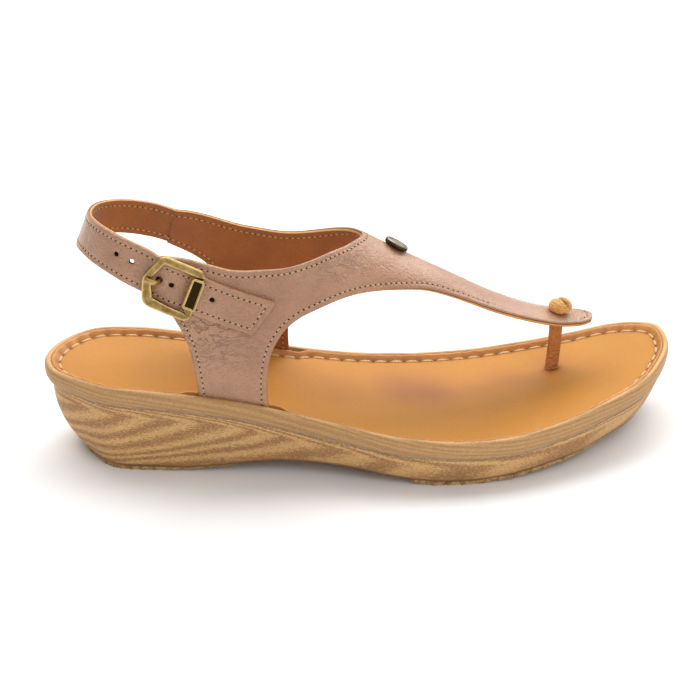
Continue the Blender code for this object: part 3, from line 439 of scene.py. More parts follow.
def srgb(red, green, blue):
    """Scene colour from the 0 to 255 numbers of a colour picker."""
    shares = [part / 255.0 for part in (red, green, blue)]
    return tuple(s / 12.92 if s <= 0.04045 else ((s + 0.055) / 1.055) ** 2.4 for s in shares)


def colour(name, description, red, green, blue):
    """Colour property with a picker's numbers as its default."""
    return FloatVectorProperty(name=name, description=description, subtype="COLOR", size=3,
                               min=0.0, max=1.0, default=srgb(red, green, blue))


def length(name, description, millimetres):
    """Length property with its default given in millimetres."""
    return FloatProperty(name=name, description=description, subtype="DISTANCE", unit="LENGTH",
                         min=0.0, precision=5, default=millimetres * MM)


def share_property(name, description, default):
    """Factor property from 0 to 1."""
    return FloatProperty(name=name, description=description, subtype="FACTOR",
                         min=0.0, max=1.0, default=default)


def power_property(name, description, watts):
    """Power property of a light."""
    return FloatProperty(name=name, description=description, subtype="POWER", unit="POWER",
                         min=0.0, default=watts)


def angle_property(name, description, degrees):
    """Angle property with its default given in degrees."""
    return FloatProperty(name=name, description=description, subtype="ANGLE", unit="ROTATION",
                         default=math.radians(degrees))


class SandalSoleSettings(bpy.types.PropertyGroup):
    """Finish of the wedge and its outsole pads."""
    light_wood: colour("Light wood", "Pale figure of the wedge", 216, 171, 110)
    dark_wood: colour("Dark wood", "Dark figure of the wedge", 156, 110, 66)
    rim_colour: colour("Rim band", "Band round the top of the wedge", 197, 154, 99)
    groove_colour: colour("Groove", "Line under the rim band", 176, 166, 144)
    rubber_colour: colour("Outsole", "Thin rubber pads under the wedge", 196, 157, 103)
    tread_pitch: length("Tread pitch", "Distance between two grooves under the pads", 4.0)


class SandalLeatherSettings(bpy.types.PropertyGroup):
    """Finish of the leather pieces."""
    upper_colour: colour("Upper", "Outer leather of quarters and straps", 186, 139, 106)
    upper_shade: colour("Upper shade", "Darker cloud in the outer leather", 170, 123, 93)
    lining_colour: colour("Lining", "Inner leather of quarters and straps", 168, 101, 49)
    edge_colour: colour("Cut edge", "Raw edge of the outer leather", 116, 84, 64)
    lining_edge_colour: colour("Lining edge", "Raw edge of the lining", 240, 176, 98)
    footbed_colour: colour("Footbed", "Insole leather", 201, 137, 54)
    # tone of the darker ball: worn leather with painted shade of the dish and of the toe post
    worn_and_shade_colour: colour("Worn footbed", "Darker ball of the insole", 152, 92, 48)
    lip_colour: colour("Lip", "Sewn strip round the insole", 212, 142, 68)
    thong_colour: colour("Thong", "Toe post", 226, 150, 86)
    knot_colour: colour("Knot", "Knot on top of the toe post", 255, 184, 102)
    grain_size: length("Grain", "Size of one pebble of the leather's grain", 0.85)


class SandalStitchSettings(bpy.types.PropertyGroup):
    """Sewing thread of the upper and of the insole's lip."""
    thread_colour: colour("Thread", "Fine thread along the leather's edges", 222, 184, 140)
    lining_thread_colour: colour("Lining thread", "Fine thread on the lining", 212, 168, 108)
    needle_colour: colour("Needle holes", "Shade in the needle holes", 56, 36, 28)
    lip_thread_colour: colour("Lip thread", "Thick thread of the insole's lip", 228, 193, 142)
    pitch: length("Pitch", "Distance from one fine stitch to the next", 2.4)
    stitch_length: length("Stitch length", "Length of a fine stitch", 1.6)
    stitch_width: length("Stitch width", "Thickness of the fine thread", 0.62)
    hole_width: length("Hole width", "Width of a needle hole between two fine stitches", 0.78)
    edge_inset: length("Edge inset", "Distance of the seam from the leather's edge", 2.4)
    lip_pitch: length("Lip pitch", "Distance from one lip stitch to the next", 6.8)
    lip_stitch_length: length("Lip stitch length", "Length of a lip stitch", 5.3)
    lip_stitch_width: length("Lip stitch width", "Thickness of the lip thread", 1.2)


class SandalMetalSettings(bpy.types.PropertyGroup):
    """Finish of the buckle and the stud."""
    # bright tone of the rubbed edges, which also carries the painted highlights on bevels and rims
    brass_colour: colour("Brass", "Worn bright edges", 208, 175, 114)
    patina_colour: colour("Patina", "Duller faces between the edges", 132, 105, 60)
    stud_colour: colour("Stud", "Worn faces of the stud", 146, 144, 142)
    roughness: share_property("Roughness", "Dullness of the brass", 0.34)


class SandalStageSettings(bpy.types.PropertyGroup):
    """Floor, studio lights and camera."""
    floor_colour: colour("Floor", "Plain pale floor", 250, 250, 250)
    key_power: power_property("Key light", "Power of the soft box above", 17.0)
    front_power: power_property("Front light", "Power of the soft box by the camera", 5.2)
    back_power: power_property("Back light", "Power of the soft box beyond the toe", 8.2)
    fill_strength: FloatProperty(name="Fill", description="Strength of the light from all sides",
                                 min=0.0, default=0.4)
    azimuth: angle_property("Azimuth", "Turn of the camera round the shoe", -6.0)
    elevation: angle_property("Elevation", "Height angle of the camera", 26.0)
    distance: length("Distance", "Distance of the camera from the shoe", 1300.0)
    target_height: length("Target height", "Height that the camera looks at", 40.0)
    lens: FloatProperty(name="Lens", description="Focal length in millimetres", min=1.0, default=160.46)


# Curves and the sole's drawing

def smooth(keys, values, at):
    """Smooth curve through rows: cubic spans with slopes taken from the neighbouring rows."""
    keys = np.asarray(keys, float)
    values = np.asarray(values, float)
    slopes = np.gradient(values, keys, axis=0)
    at = np.clip(np.asarray(at, float), keys[0], keys[-1])
    row = np.clip(np.searchsorted(keys, at) - 1, 0, len(keys) - 2)
    step = keys[row + 1] - keys[row]
    share = (at - keys[row]) / step
    if values.ndim > 1:
        share = share[..., None]
        step = step[..., None]
    before = values[row] * (1 + 2 * share) * (1 - share) ** 2
    after = values[row + 1] * share ** 2 * (3 - 2 * share)
    bend = slopes[row] * share * (1 - share) ** 2 - slopes[row + 1] * share ** 2 * (1 - share)
    return before + after + step * bend


def chord_lengths(points):
    """Running length along a polyline."""
    steps = np.linalg.norm(np.diff(points, axis=0), axis=1)
    return np.concatenate([[0.0], np.cumsum(steps)])


def curve_through(points, step):
    """Points about one step apart on a smooth open curve through the given points."""
    points = np.asarray(points, float)
    running = chord_lengths(points)
    count = max(2, int(math.ceil(running[-1] / step)) + 1)
    return smooth(running, points, np.linspace(0.0, running[-1], count))


def unit(vectors):
    """Vectors scaled to length one."""
    return vectors / np.linalg.norm(vectors, axis=-1, keepdims=True)


def unit_circle(sides):
    """Flat points round a circle of radius 1."""
    angles = np.arange(sides) * 2 * math.pi / sides
    return np.column_stack([np.cos(angles), np.sin(angles)])


def bump(distance, width):
    """Soft hump: one at no distance, fading over a width."""
    return np.exp(-(distance / width) ** 2)


SolePlan = namedtuple("SolePlan", "edge inward breadth")


def sole_plan(steps):
    """Rim edge in plan, with each point's direction and distance to the sole's middle line."""
    lateral = [(row.lateral_x, row.lateral_y) for row in SOLE]
    medial = [(row.medial_x, row.medial_y) for row in SOLE[-2:0:-1]]
    knots = np.array(lateral + medial)
    wrapped = np.vstack([knots[-3:], knots, knots[:4]])
    running = chord_lengths(wrapped)
    marks = running[3:len(knots) + 4]
    spans = [np.linspace(a, b, steps, endpoint=False) for a, b in zip(marks[:-1], marks[1:])]
    edge = smooth(running, wrapped, np.concatenate(spans))
    count = len(edge)
    station = np.minimum(np.arange(count), count - np.arange(count))
    station = np.clip(station, SPINE_HEEL_SECTION * steps, SPINE_TOE_SECTION * steps)
    middle = 0.5 * (edge[station] + edge[(count - station) % count])
    breadth = np.linalg.norm(middle - edge, axis=1)
    return SolePlan(edge, (middle - edge) / breadth[:, None], breadth)


DRAWING_EDGE = sole_plan(DRAWING_STEPS).edge
SHIFT = np.append(-0.5 * (DRAWING_EDGE.min(axis=0) + DRAWING_EDGE.max(axis=0)), 0.0)


def world(points):
    """Metres in the packed frame from millimetres in the drawing."""
    return (np.asarray(points, float) + SHIFT) * MM


def rim_height(x):
    """Height of the rim's top along the shoe."""
    return smooth([row.x for row in RIM], [row.height for row in RIM], x)


def dish_depth(x):
    """Depth of the footbed's dish along the shoe."""
    return smooth([row.x for row in RIM], [row.dish for row in RIM], x)


def cup_floor(x):
    """Height of the floor of the wedge's cup."""
    return rim_height(x) - CUP_DEPTH


def wedge_bottom(x):
    """Height of the wedge's underside: flat heel, arch, flat ball and toe spring."""
    arch = np.clip((x - ARCH_BACK) / (ARCH_FRONT - ARCH_BACK), 0.0, 1.0)
    spring = np.clip((x - SPRING_START) / (SPRING_END - SPRING_START), 0.0, None)
    rise = ARCH_RISE * np.sin(math.pi * arch) ** 2 + TOE_SPRING * spring ** SPRING_POWER
    return PAD_THICKNESS + GAP + rise


def wall_shape(plan):
    """Shape of the wall round the edge, blended from the sides to the heel and to the toe."""
    backward = np.clip(plan.inward[:, 0], 0.0, 1.0) ** HEEL_SHARPNESS
    forward = np.clip(-plan.inward[:, 0], 0.0, 1.0)
    return WallShape(*(side + (heel - side) * backward + (toe - side) * forward
                       for side, heel, toe in zip(SIDE_WALL, HEEL_WALL, TOE_WALL)))


def tuck_share(drop):
    """Share of the rim band's tuck at a drop under the rim's top."""
    return (max(drop - PROUD_DROP, 0.0) / (RIM_BAND - PROUD_DROP)) ** 2


def pad_thickness(x):
    """Thickness of the outsole pads at x."""
    return np.interp(x, [row.x for row in PADS], [row.thickness for row in PADS])


def under_rim(drop):
    """Height along the shoe at a drop under the rim's top."""
    return lambda x: rim_height(x) - drop


def wall_height(share):
    """Height along the shoe at a share of the way from the rim band down to the underside."""
    return lambda x: (1 - share) * (rim_height(x) - RIM_BAND) + share * wedge_bottom(x)


def ring(plan, inset, height):
    """Closed ring of points at an inset from the rim's edge, at a height given along the shoe."""
    inset = np.broadcast_to(inset, plan.breadth.shape)
    xy = plan.edge + plan.inward * inset[:, None]
    return np.column_stack([xy, height(xy[:, 0])])


def loft(rings):
    """Points and four-sided faces of a skin over closed rings of equal count."""
    count = len(rings[0])
    faces = []
    for row in range(len(rings) - 1):
        for i in range(count):
            j = (i + 1) % count
            faces.append((row * count + i, row * count + j, (row + 1) * count + j, (row + 1) * count + i))
    return np.vstack(rings), faces


def capped_loft(rings):
    """Closed skin over rings, with a flat face at each end."""
    points, faces = loft(rings)
    count = len(rings[0])
    last = len(points) - count
    return points, faces + [tuple(reversed(range(count))), tuple(range(last, last + count))]


# Objects

def skin_object(name, points, faces, finishes, kinds=None, marks=None):
    """Smooth mesh object from drawing points, with a finish number per face and marks per point."""
    mesh = bpy.data.meshes.new(name)
    mesh.from_pydata(world(points).tolist(), [], [list(face) for face in faces])
    for finish in finishes:
        mesh.materials.append(finish)
    if kinds is not None:
        mesh.polygons.foreach_set("material_index", np.asarray(kinds, np.int32))
    for label, values in (marks or {}).items():
        layer = mesh.attributes.new(label, "FLOAT", "POINT")
        layer.data.foreach_set("value", np.asarray(values, np.float32))
    work = bmesh.new()
    work.from_mesh(mesh)
    bmesh.ops.remove_doubles(work, verts=work.verts, dist=MERGE_DISTANCE)
    bmesh.ops.recalc_face_normals(work, faces=work.faces)
    work.to_mesh(mesh)
    work.free()
    mesh.shade_smooth()
    piece = bpy.data.objects.new(name, mesh)
    bpy.context.collection.objects.link(piece)
    return piece


def dress(piece, slot, *nodes):
    """Puts a finished piece on the frame's body, in place of frame nodes; its slot is not used."""
    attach(piece, BODY)
    if nodes:
        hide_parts(*nodes)


# Finishes

class Finish:
    """One procedural material while its nodes are being joined."""

    def __init__(self, name):
        self.material = bpy.data.materials.new(name)
        self.material.use_nodes = True
        self.tree = self.material.node_tree
        self.shader = self.tree.nodes["Principled BSDF"]
        self.place = self.add("ShaderNodeTexCoord").outputs["Object"]

    def add(self, kind, inputs=None, **settings):
        """Adds a node, sets its options, and fills or joins its inputs."""
        node = self.tree.nodes.new(kind)
        for key, value in settings.items():
            setattr(node, key, value)
        for key, value in (inputs or {}).items():
            self.fill(node.inputs[key], value)
        return node

    def fill(self, socket, value):
        """Joins an output to a socket, or sets its value."""
        if isinstance(value, bpy.types.NodeSocket):
            self.tree.links.new(value, socket)
        else:
            socket.default_value = value

    def set(self, **inputs):
        """Fills inputs of the shader, with underscores for the spaces in their names."""
        for key, value in inputs.items():
            self.fill(self.shader.inputs[key.replace("_", " ")], value)

    def scaled(self, per_metre):
        """Object coordinates times a number of repeats a metre, one for each direction."""
        return self.add("ShaderNodeMapping", {"Vector": self.place, "Scale": per_metre}).outputs["Vector"]

    def noise(self, per_metre, detail=3.0, roughness=0.5, distortion=0.0):
        """Cloudy noise from 0 to 1."""
        inputs = {"Vector": self.scaled(per_metre), "Scale": 1.0, "Detail": detail,
                  "Roughness": roughness, "Distortion": distortion}
        return self.add("ShaderNodeTexNoise", inputs).outputs["Fac"]

    def pebbles(self, size):
        """Rounded leather pebbles of about a size in metres."""
        per_metre = (1.0 / size,) * 3
        warp = self.add("ShaderNodeTexNoise", {"Vector": self.scaled(per_metre), "Scale": 0.6})
        warped = self.mix(0.25, self.scaled(per_metre), warp.outputs["Color"], "ADD")
        inputs = {"Vector": warped, "Scale": 1.0}
        return self.add("ShaderNodeTexVoronoi", inputs, feature="SMOOTH_F1").outputs["Distance"]

    def mark(self, name):
        """A piece's own float attribute."""
        return self.add("ShaderNodeAttribute", attribute_name=name).outputs["Fac"]

    def math(self, operation, first, second=0.0, clamp=False):
        """Arithmetic on two numbers or outputs."""
        inputs = {0: first, 1: second}
        return self.add("ShaderNodeMath", inputs, operation=operation, use_clamp=clamp).outputs[0]

    def total(self, *terms):
        """Sum of outputs, each times its weight."""
        parts = [self.math("MULTIPLY", value, weight) for value, weight in terms]
        result = parts[0]
        for part in parts[1:]:
            result = self.math("ADD", result, part)
        return result

    def lines(self, clouds, width):
        """Thin lines where a cloudy noise crosses its middle, fading over a width."""
        from_line = self.math("ABSOLUTE", self.math("SUBTRACT", clouds, 0.5))
        return self.between(from_line, 0.0, width, 1.0, 0.0)

    def between(self, value, low, high, to_low=0.0, to_high=1.0):
        """Value carried smoothly from one range to another."""
        inputs = {"Value": value, "From Min": low, "From Max": high, "To Min": to_low, "To Max": to_high}
        return self.add("ShaderNodeMapRange", inputs, interpolation_type="SMOOTHSTEP").outputs["Result"]

    def mix(self, factor, first, second, blend="MIX"):
        """Blend of two colours."""
        node = self.add("ShaderNodeMix", data_type="RGBA", blend_type=blend)
        self.fill(node.inputs[MIX_FACTOR], factor)
        for index, value in ((MIX_FIRST, first), (MIX_SECOND, second)):
            if not isinstance(value, bpy.types.NodeSocket):
                value = (*value[:3], 1.0)
            self.fill(node.inputs[index], value)
        return node.outputs[MIX_RESULT]

    def bump(self, height, strength, depth):
        """Fine relief of a depth in metres."""
        inputs = {"Height": height, "Strength": strength, "Distance": depth}
        self.set(Normal=self.add("ShaderNodeBump", inputs).outputs["Normal"])


def shade(tone, factor):
    """Colour made darker or lighter."""
    return tuple(min(1.0, part * factor) for part in tone)


def leather_finish(name, tone, dark_tone, grain, roughness, coat, sheen, relief=1.0):
    """Grained leather: clouded colour, pebbles, fine wrinkles and marked folds with painted shade in them,
    pores and a waxed coat.
    """
    finish = Finish(name)
    clouds = finish.between(finish.noise((38.0, 38.0, 38.0), 5.0, 0.6), 0.35, 0.68)
    fine = finish.noise((900.0, 900.0, 900.0), 2.0)
    pebbles = finish.pebbles(grain)
    swell = finish.noise((170.0, 130.0, 200.0), 3.0, 0.6, 0.8)
    wrinkles_with_painted_shade = finish.lines(swell, 0.035)
    folds = finish.lines(finish.noise((210.0, 210.0, 520.0), 3.0, 0.55, 0.8), 0.045)
    folds_with_painted_shade = finish.math("MULTIPLY", folds, finish.mark("creased"))
    tint = finish.mix(clouds, tone, dark_tone)
    tint = finish.mix(finish.between(pebbles, 0.35, 0.75, 0.0, 0.28), tint, shade(dark_tone, 0.68))
    # painted shade in the fine wrinkles
    tint = finish.mix(finish.math("MULTIPLY", wrinkles_with_painted_shade, 0.06 * relief), tint, shade(dark_tone, 0.6))
    tint = finish.mix(finish.between(fine, 0.3, 0.7, 0.0, 0.14), tint, shade(tone, 1.25))
    # painted shade in the marked folds
    tint = finish.mix(finish.math("MULTIPLY", folds_with_painted_shade, 0.6), tint, shade(dark_tone, 0.45))
    finish.set(Base_Color=tint)
    finish.set(Roughness=finish.between(clouds, 0.0, 1.0, roughness - 0.05, roughness + 0.07))
    finish.set(Coat_Weight=coat, Coat_Roughness=0.36, Sheen_Weight=sheen, Sheen_Roughness=0.5)
    height = finish.total((pebbles, -0.9), (swell, 0.35), (wrinkles_with_painted_shade, -0.1), (fine, 0.5), (folds_with_painted_shade, -1.5))
    finish.bump(height, min(1.0, 0.45 * relief), 0.00035 * relief)
    return finish


def upper_finish():
    """Waxed mauve-taupe leather of the outer side."""
    look = bpy.context.scene.sandal_leather
    finish = leather_finish("mauve_leather", look.upper_colour, look.upper_shade, look.grain_size,
                            roughness=0.36, coat=0.34, sheen=0.15, relief=1.5)
    return finish.material


def lining_finish():
    """Smooth tan lining with a fine grain."""
    look = bpy.context.scene.sandal_leather
    tone = look.lining_colour
    finish = leather_finish("tan_lining", tone, shade(tone, 0.78), FINE_GRAIN * look.grain_size,
                            roughness=0.55, coat=0.05, sheen=0.1)
    return finish.material


def edge_finish(name, tone):
    """Cut edge of one layer of leather: dyed fibres."""
    finish = Finish(name)
    fibres = finish.noise((700.0, 700.0, 1500.0), 3.0, 0.6)
    tint = finish.mix(finish.between(fibres, 0.3, 0.7), tone, shade(tone, 0.74))
    finish.set(Base_Color=tint, Roughness=0.72)
    finish.bump(fibres, 0.4, 0.0003)
    return finish.material


def panel_finishes():
    """Finishes of a lined panel in order: outer side, lining, their two cut edges, and the painted shade of
    the punched holes.
    """
    look = bpy.context.scene.sandal_leather
    return [upper_finish(), lining_finish(), edge_finish("upper_cut_edge", look.edge_colour),
            edge_finish("lining_cut_edge", look.lining_edge_colour), needle_finish()]


def footbed_finish():
    """Orange-tan insole leather, darker where shade of the dished ball and of the toe post is painted on,
    and smoother where the ball of the foot has worn it.
    """
    look = bpy.context.scene.sandal_leather
    tone = look.footbed_colour
    finish = Finish("footbed_tan")
    clouds = finish.noise((30.0, 30.0, 30.0), 4.0, 0.55)
    fine = finish.noise((1100.0, 1100.0, 1100.0), 2.0)
    pebbles = finish.pebbles(FINE_GRAIN * look.grain_size)
    worn = finish.math("MULTIPLY", finish.mark("worn"), finish.between(clouds, 0.2, 0.8, 0.7, 1.15), True)
    tint = finish.mix(finish.between(clouds, 0.35, 0.7, 0.0, 0.5), tone, shade(tone, 0.86))
    # painted shade of the dished ball and of the toe post, where the leather is also worn smoother
    tint = finish.mix(worn, tint, look.worn_and_shade_colour)
    tint = finish.mix(finish.between(fine, 0.35, 0.7, 0.0, 0.25), tint, shade(tone, 0.7))
    # painted shade in the lip's groove, at the stitch pinches and in the dent round the toe post
    tint = finish.mix(finish.mark("pinch"), tint, shade(tone, 0.2))
    roughness = finish.between(worn, 0.0, 1.0, 0.56, 0.48)
    finish.set(Base_Color=tint, Roughness=roughness, Specular_IOR_Level=0.3)
    finish.bump(finish.total((pebbles, -0.5), (fine, 0.5)), 0.35, 0.0003)
    return finish.material


def paint_pinch_shade(finish, tone):
    """Paints shade on a leather: turns it to a darker tone where its piece is marked with painted pinch
    shade.
    """
    leather = finish.shader.inputs["Base Color"].links[0].from_socket
    finish.set(Base_Color=finish.mix(finish.mark("pinch"), leather, tone))


def lip_finish():
    """Strip round the insole: paler tan leather, with painted shade where the stitches pinch it and in its
    groove.
    """
    look = bpy.context.scene.sandal_leather
    tone = look.lip_colour
    finish = leather_finish("lip_tan", tone, shade(tone, 0.74), FINE_GRAIN * look.grain_size,
                            roughness=0.5, coat=0.1, sheen=0.0)
    paint_pinch_shade(finish, shade(tone, 0.3))
    return finish.material


def thong_finish(name, tone):
    """Tan leather of the toe post and knot, with painted shade in the knot's slit."""
    finish = leather_finish(name, tone, shade(tone, 0.7), THONG_GRAIN * MM,
                            roughness=0.5, coat=0.05, sheen=0.0, relief=2.2)
    paint_pinch_shade(finish, shade(tone, 0.14))
    return finish.material


def thread_finish(name, tone):
    """Waxed twisted thread."""
    finish = Finish(name)
    twist = finish.noise((1600.0, 1600.0, 1600.0), 2.0)
    tint = finish.mix(finish.between(twist, 0.3, 0.7), tone, shade(tone, 0.72))
    finish.set(Base_Color=tint, Roughness=0.6)
    finish.bump(twist, 0.5, 0.0002)
    return finish.material


def needle_finish():
    """Painted shade inside a needle hole, and on the walls and floors of the punched holes."""
    tone = bpy.context.scene.sandal_stitch.needle_colour
    finish = Finish("needle_shade")
    fibres = finish.noise((1800.0, 1800.0, 1800.0), 2.0)
    finish.set(Base_Color=finish.mix(fibres, tone, shade(tone, 0.5)), Roughness=0.9)
    return finish.material


def band_colours_with_painted_light(finish, drop):
    """Colours of the rim band by the drop under its top: a painted highlight on the pale top edge, three
    fine lines with painted shade at the bead, and the groove with painted shade above and below it.
    """
    look = bpy.context.scene.sandal_sole
    rim, groove, dark = look.rim_colour, look.groove_colour, look.dark_wood
    # painted light: the pale stops at the top are a painted highlight on the rim's top edge; the darker
    # stops at 0.56, 0.66, 0.785 and 0.86 are painted shade at the bead and round the groove
    stops = ((0.0, shade(rim, 1.28)), (0.05, shade(rim, 1.14)), (0.11, rim), (0.52, shade(rim, 0.97)),
             (0.56, shade(rim, 0.88)), (0.6, shade(rim, 0.98)), (0.66, shade(rim, 0.9)),
             (0.71, shade(rim, 0.97)), (0.785, shade(rim, 0.76)), (0.81, groove), (0.83, groove),
             (0.86, shade(dark, 0.62)), (0.92, dark))
    per_centimetre = finish.math("MULTIPLY", drop, 100.0)
    band = finish.add("ShaderNodeValToRGB", {"Fac": per_centimetre})
    ramp = band.color_ramp
    ramp.elements[0].position = stops[0][0]
    ramp.elements[1].position = stops[-1][0]
    for position, _ in stops[1:-1]:
        ramp.elements.new(position)
    for element, (_, tone) in zip(ramp.elements, stops):
        element.color = (*tone, 1.0)
    return band.outputs["Color"]


def wood_finish():
    """Wedge: speckled wood figure on the wall, a paler rim band with its lines and its painted highlight
    and shade, a dark foot line.
    """
    look = bpy.context.scene.sandal_sole
    light, dark = look.light_wood, look.dark_wood
    finish = Finish("figured_wood")
    drift = finish.noise((24.0, 24.0, 60.0), 3.0, 0.55)
    speckle = finish.noise((950.0, 950.0, 2000.0), 2.0, 0.6)
    streaks = finish.noise((36.0, 70.0, 900.0), 3.0, 0.6)
    bent = finish.math("ADD", finish.mark("figure"), finish.between(drift, 0.2, 0.8, -0.18, 0.18))
    wave = finish.math("COSINE", finish.math("MULTIPLY", bent, 2.0 * math.pi))
    dots = finish.between(speckle, 0.3, 0.7, -0.6, 0.6)
    dotted = finish.total((wave, 0.55), (dots, 1.0), (finish.between(streaks, 0.3, 0.7, -0.12, 0.12), 1.0))
    wall = finish.mix(finish.between(dotted, -0.9, 0.9), dark, light)
    drop = finish.math("ADD", finish.mark("drop"), finish.between(speckle, 0.3, 0.7, -0.0003, 0.0003))
    band = band_colours_with_painted_light(finish, drop)
    band = finish.mix(finish.between(dotted, -0.9, 0.9, 0.6, 0.0), band, shade(dark, 0.95))
    tint = finish.mix(finish.between(drop, 0.0085, 0.0091), band, wall)
    foot = finish.between(finish.mark("above"), 0.0006, 0.0014, 0.75, 0.0)
    tint = finish.mix(foot, tint, shade(dark, 0.6))
    finish.set(Base_Color=tint, Roughness=finish.between(speckle, 0.2, 0.8, 0.52, 0.66))
    finish.set(Coat_Weight=0.08, Coat_Roughness=0.5)
    finish.bump(finish.total((speckle, 1.0), (streaks, 0.6)), 0.35, 0.0003)
    return finish.material


def rubber_finish():
    """Outsole rubber with a rough trimmed edge."""
    tone = bpy.context.scene.sandal_sole.rubber_colour
    finish = Finish("tan_rubber")
    crumb = finish.noise((420.0, 420.0, 420.0), 4.0, 0.65)
    tint = finish.mix(finish.between(crumb, 0.42, 0.62), tone, shade(tone, 0.5))
    finish.set(Base_Color=tint, Roughness=0.8)
    finish.bump(crumb, 0.6, 0.0005)
    return finish.material


def brass_finish(name, bright):
    """Antique brass: bright edges that are partly worn and partly a painted highlight, duller faces, and
    near-black tarnish where it is sunk, which on the frame's underside is painted shade.
    """
    look = bpy.context.scene.sandal_metal
    dull = look.patina_colour
    finish = Finish(name)
    clouds = finish.noise((420.0, 420.0, 420.0), 4.0, 0.6)
    brushed = finish.noise((2600.0, 2600.0, 700.0), 2.0)
    worn = finish.mark("rubbed")
    rubbed = finish.math("ADD", worn, finish.between(clouds, 0.3, 0.7, -0.25, 0.25), True)
    # bright where rubbed, partly a painted highlight; the near-black tone below zero is painted shade on
    # the frame's underside
    metal = finish.mix(rubbed, dull, bright)
    tint = finish.mix(finish.between(worn, -1.0, 0.0, 1.0, 0.0), metal, shade(dull, 0.16))
    finish.set(Base_Color=tint, Metallic=1.0)
    rough = finish.between(rubbed, 0.0, 1.0, look.roughness + 0.14, look.roughness - 0.06)
    finish.set(Roughness=finish.math("ADD", rough, finish.between(clouds, 0.3, 0.7, -0.05, 0.08)))
    finish.bump(finish.total((clouds, 1.0), (brushed, 0.4)), 0.25, 0.0002)
    return finish.material


# Last, T-strap and quarters

FINE_PLAN = sole_plan(LAST_STEPS)


def sole_edge(x, lateral):
    """Across-foot place of the rim's edge on one side."""
    half = len(FINE_PLAN.edge) // 2
    if lateral:
        side = FINE_PLAN.edge[:half + 1]
    else:
        side = np.vstack([FINE_PLAN.edge[half:], FINE_PLAN.edge[:1]])[::-1]
    return np.interp(x, side[:, 0], side[:, 1])


def last_rows(x):
    """Ridge place and height, both sides, foot height and roundness of the last at x."""
    rows = smooth([row.x for row in LAST], [row[1:] for row in LAST], x)
    ridge_y, ridge_z, lateral_inset, medial_inset, fullness = np.moveaxis(rows, -1, 0)
    lateral = sole_edge(x, True) + lateral_inset
    medial = sole_edge(x, False) - medial_inset
    return ridge_y, ridge_z, lateral, medial, cup_floor(x) + GAP, fullness


def last_surface(x, turn):
    """Outer leather surface at x, at an angle round the section from the ridge."""
    x = np.asarray(x, float)
    turn = np.asarray(turn, float)
    ridge_y, ridge_z, lateral, medial, foot, fullness = last_rows(x)
    angle = np.radians(np.minimum(np.abs(turn), 90.0))
    across = np.sin(angle) ** (2 / fullness)
    up = np.maximum(np.cos(angle), 0.0) ** (2 / fullness)
    side = np.where(turn < 0, lateral, medial)
    return np.stack([x, ridge_y + (side - ridge_y) * across, foot + (ridge_z - foot) * up], axis=-1)


def last_normal(x, turn):
    """Outward direction of the last's surface."""
    along = last_surface(x + 0.2, turn) - last_surface(x - 0.2, turn)
    turn = np.clip(turn, -89.0, 89.0)
    round_section = last_surface(x, turn + 0.5) - last_surface(x, turn - 0.5)
    return unit(np.cross(along, round_section))


def last_turn(x, height, side):
    """Angle round the section at which the last has a height, on side -1 lateral or +1 medial."""
    _, ridge_z, _, _, foot, fullness = last_rows(np.asarray(x, float))
    up = np.clip((height - foot) / (ridge_z - foot), 0.0, 1.0)
    return side * np.degrees(np.arccos(up ** (fullness / 2)))


def strap_rows():
    """Middle of the strap's inner face and its upward direction, tip first, at every table row."""
    middles, ups = [], []
    for side, rows in ((-1, LATERAL_LAP), (1, MEDIAL_LAP)):
        x = np.array([row.x for row in rows])
        turn = last_turn(x, np.array([row.height for row in rows]), side)
        lift = np.array([row.lift for row in rows])
        middles.append(last_surface(x, turn) + lift[:, None] * last_normal(x, turn))
        ups.append(unit(last_surface(x, turn - side) - last_surface(x, turn + side)))
    loop = np.array([(row.x, row.y, row.height) for row in HEEL_LOOP])
    way = unit(np.gradient(loop[:, :2], axis=0))
    outward = np.column_stack([-way[:, 1], way[:, 0], np.zeros(len(loop))])
    lean = np.radians([row.lean for row in HEEL_LOOP])[:, None]
    loop_up = np.cos(lean) * np.array([0.0, 0.0, 1.0]) - np.sin(lean) * outward
    return np.vstack([middles[0], loop, middles[1]]), np.vstack([ups[0], loop_up, ups[1]])


STRAP_MIDDLES, STRAP_UPS = strap_rows()
STRAP_RUNNING = chord_lengths(STRAP_MIDDLES)


def strap_frame(place):
    """Middle, forward, upward and outward directions of the strap, at lengths from its tip."""
    place = np.asarray(place, float)
    middle = smooth(STRAP_RUNNING, STRAP_MIDDLES, place)
    ahead = smooth(STRAP_RUNNING, STRAP_MIDDLES, place + 0.5)
    along = unit(ahead - smooth(STRAP_RUNNING, STRAP_MIDDLES, place - 0.5))
    up = smooth(STRAP_RUNNING, STRAP_UPS, place)
    up = unit(up - along * np.sum(up * along, axis=-1, keepdims=True))
    return middle, along, up, np.cross(up, along)


def strap_width(place):
    """Width of the strap at lengths from its tip."""
    return smooth([row.place for row in STRAP_WIDTHS], [row.width for row in STRAP_WIDTHS], place)


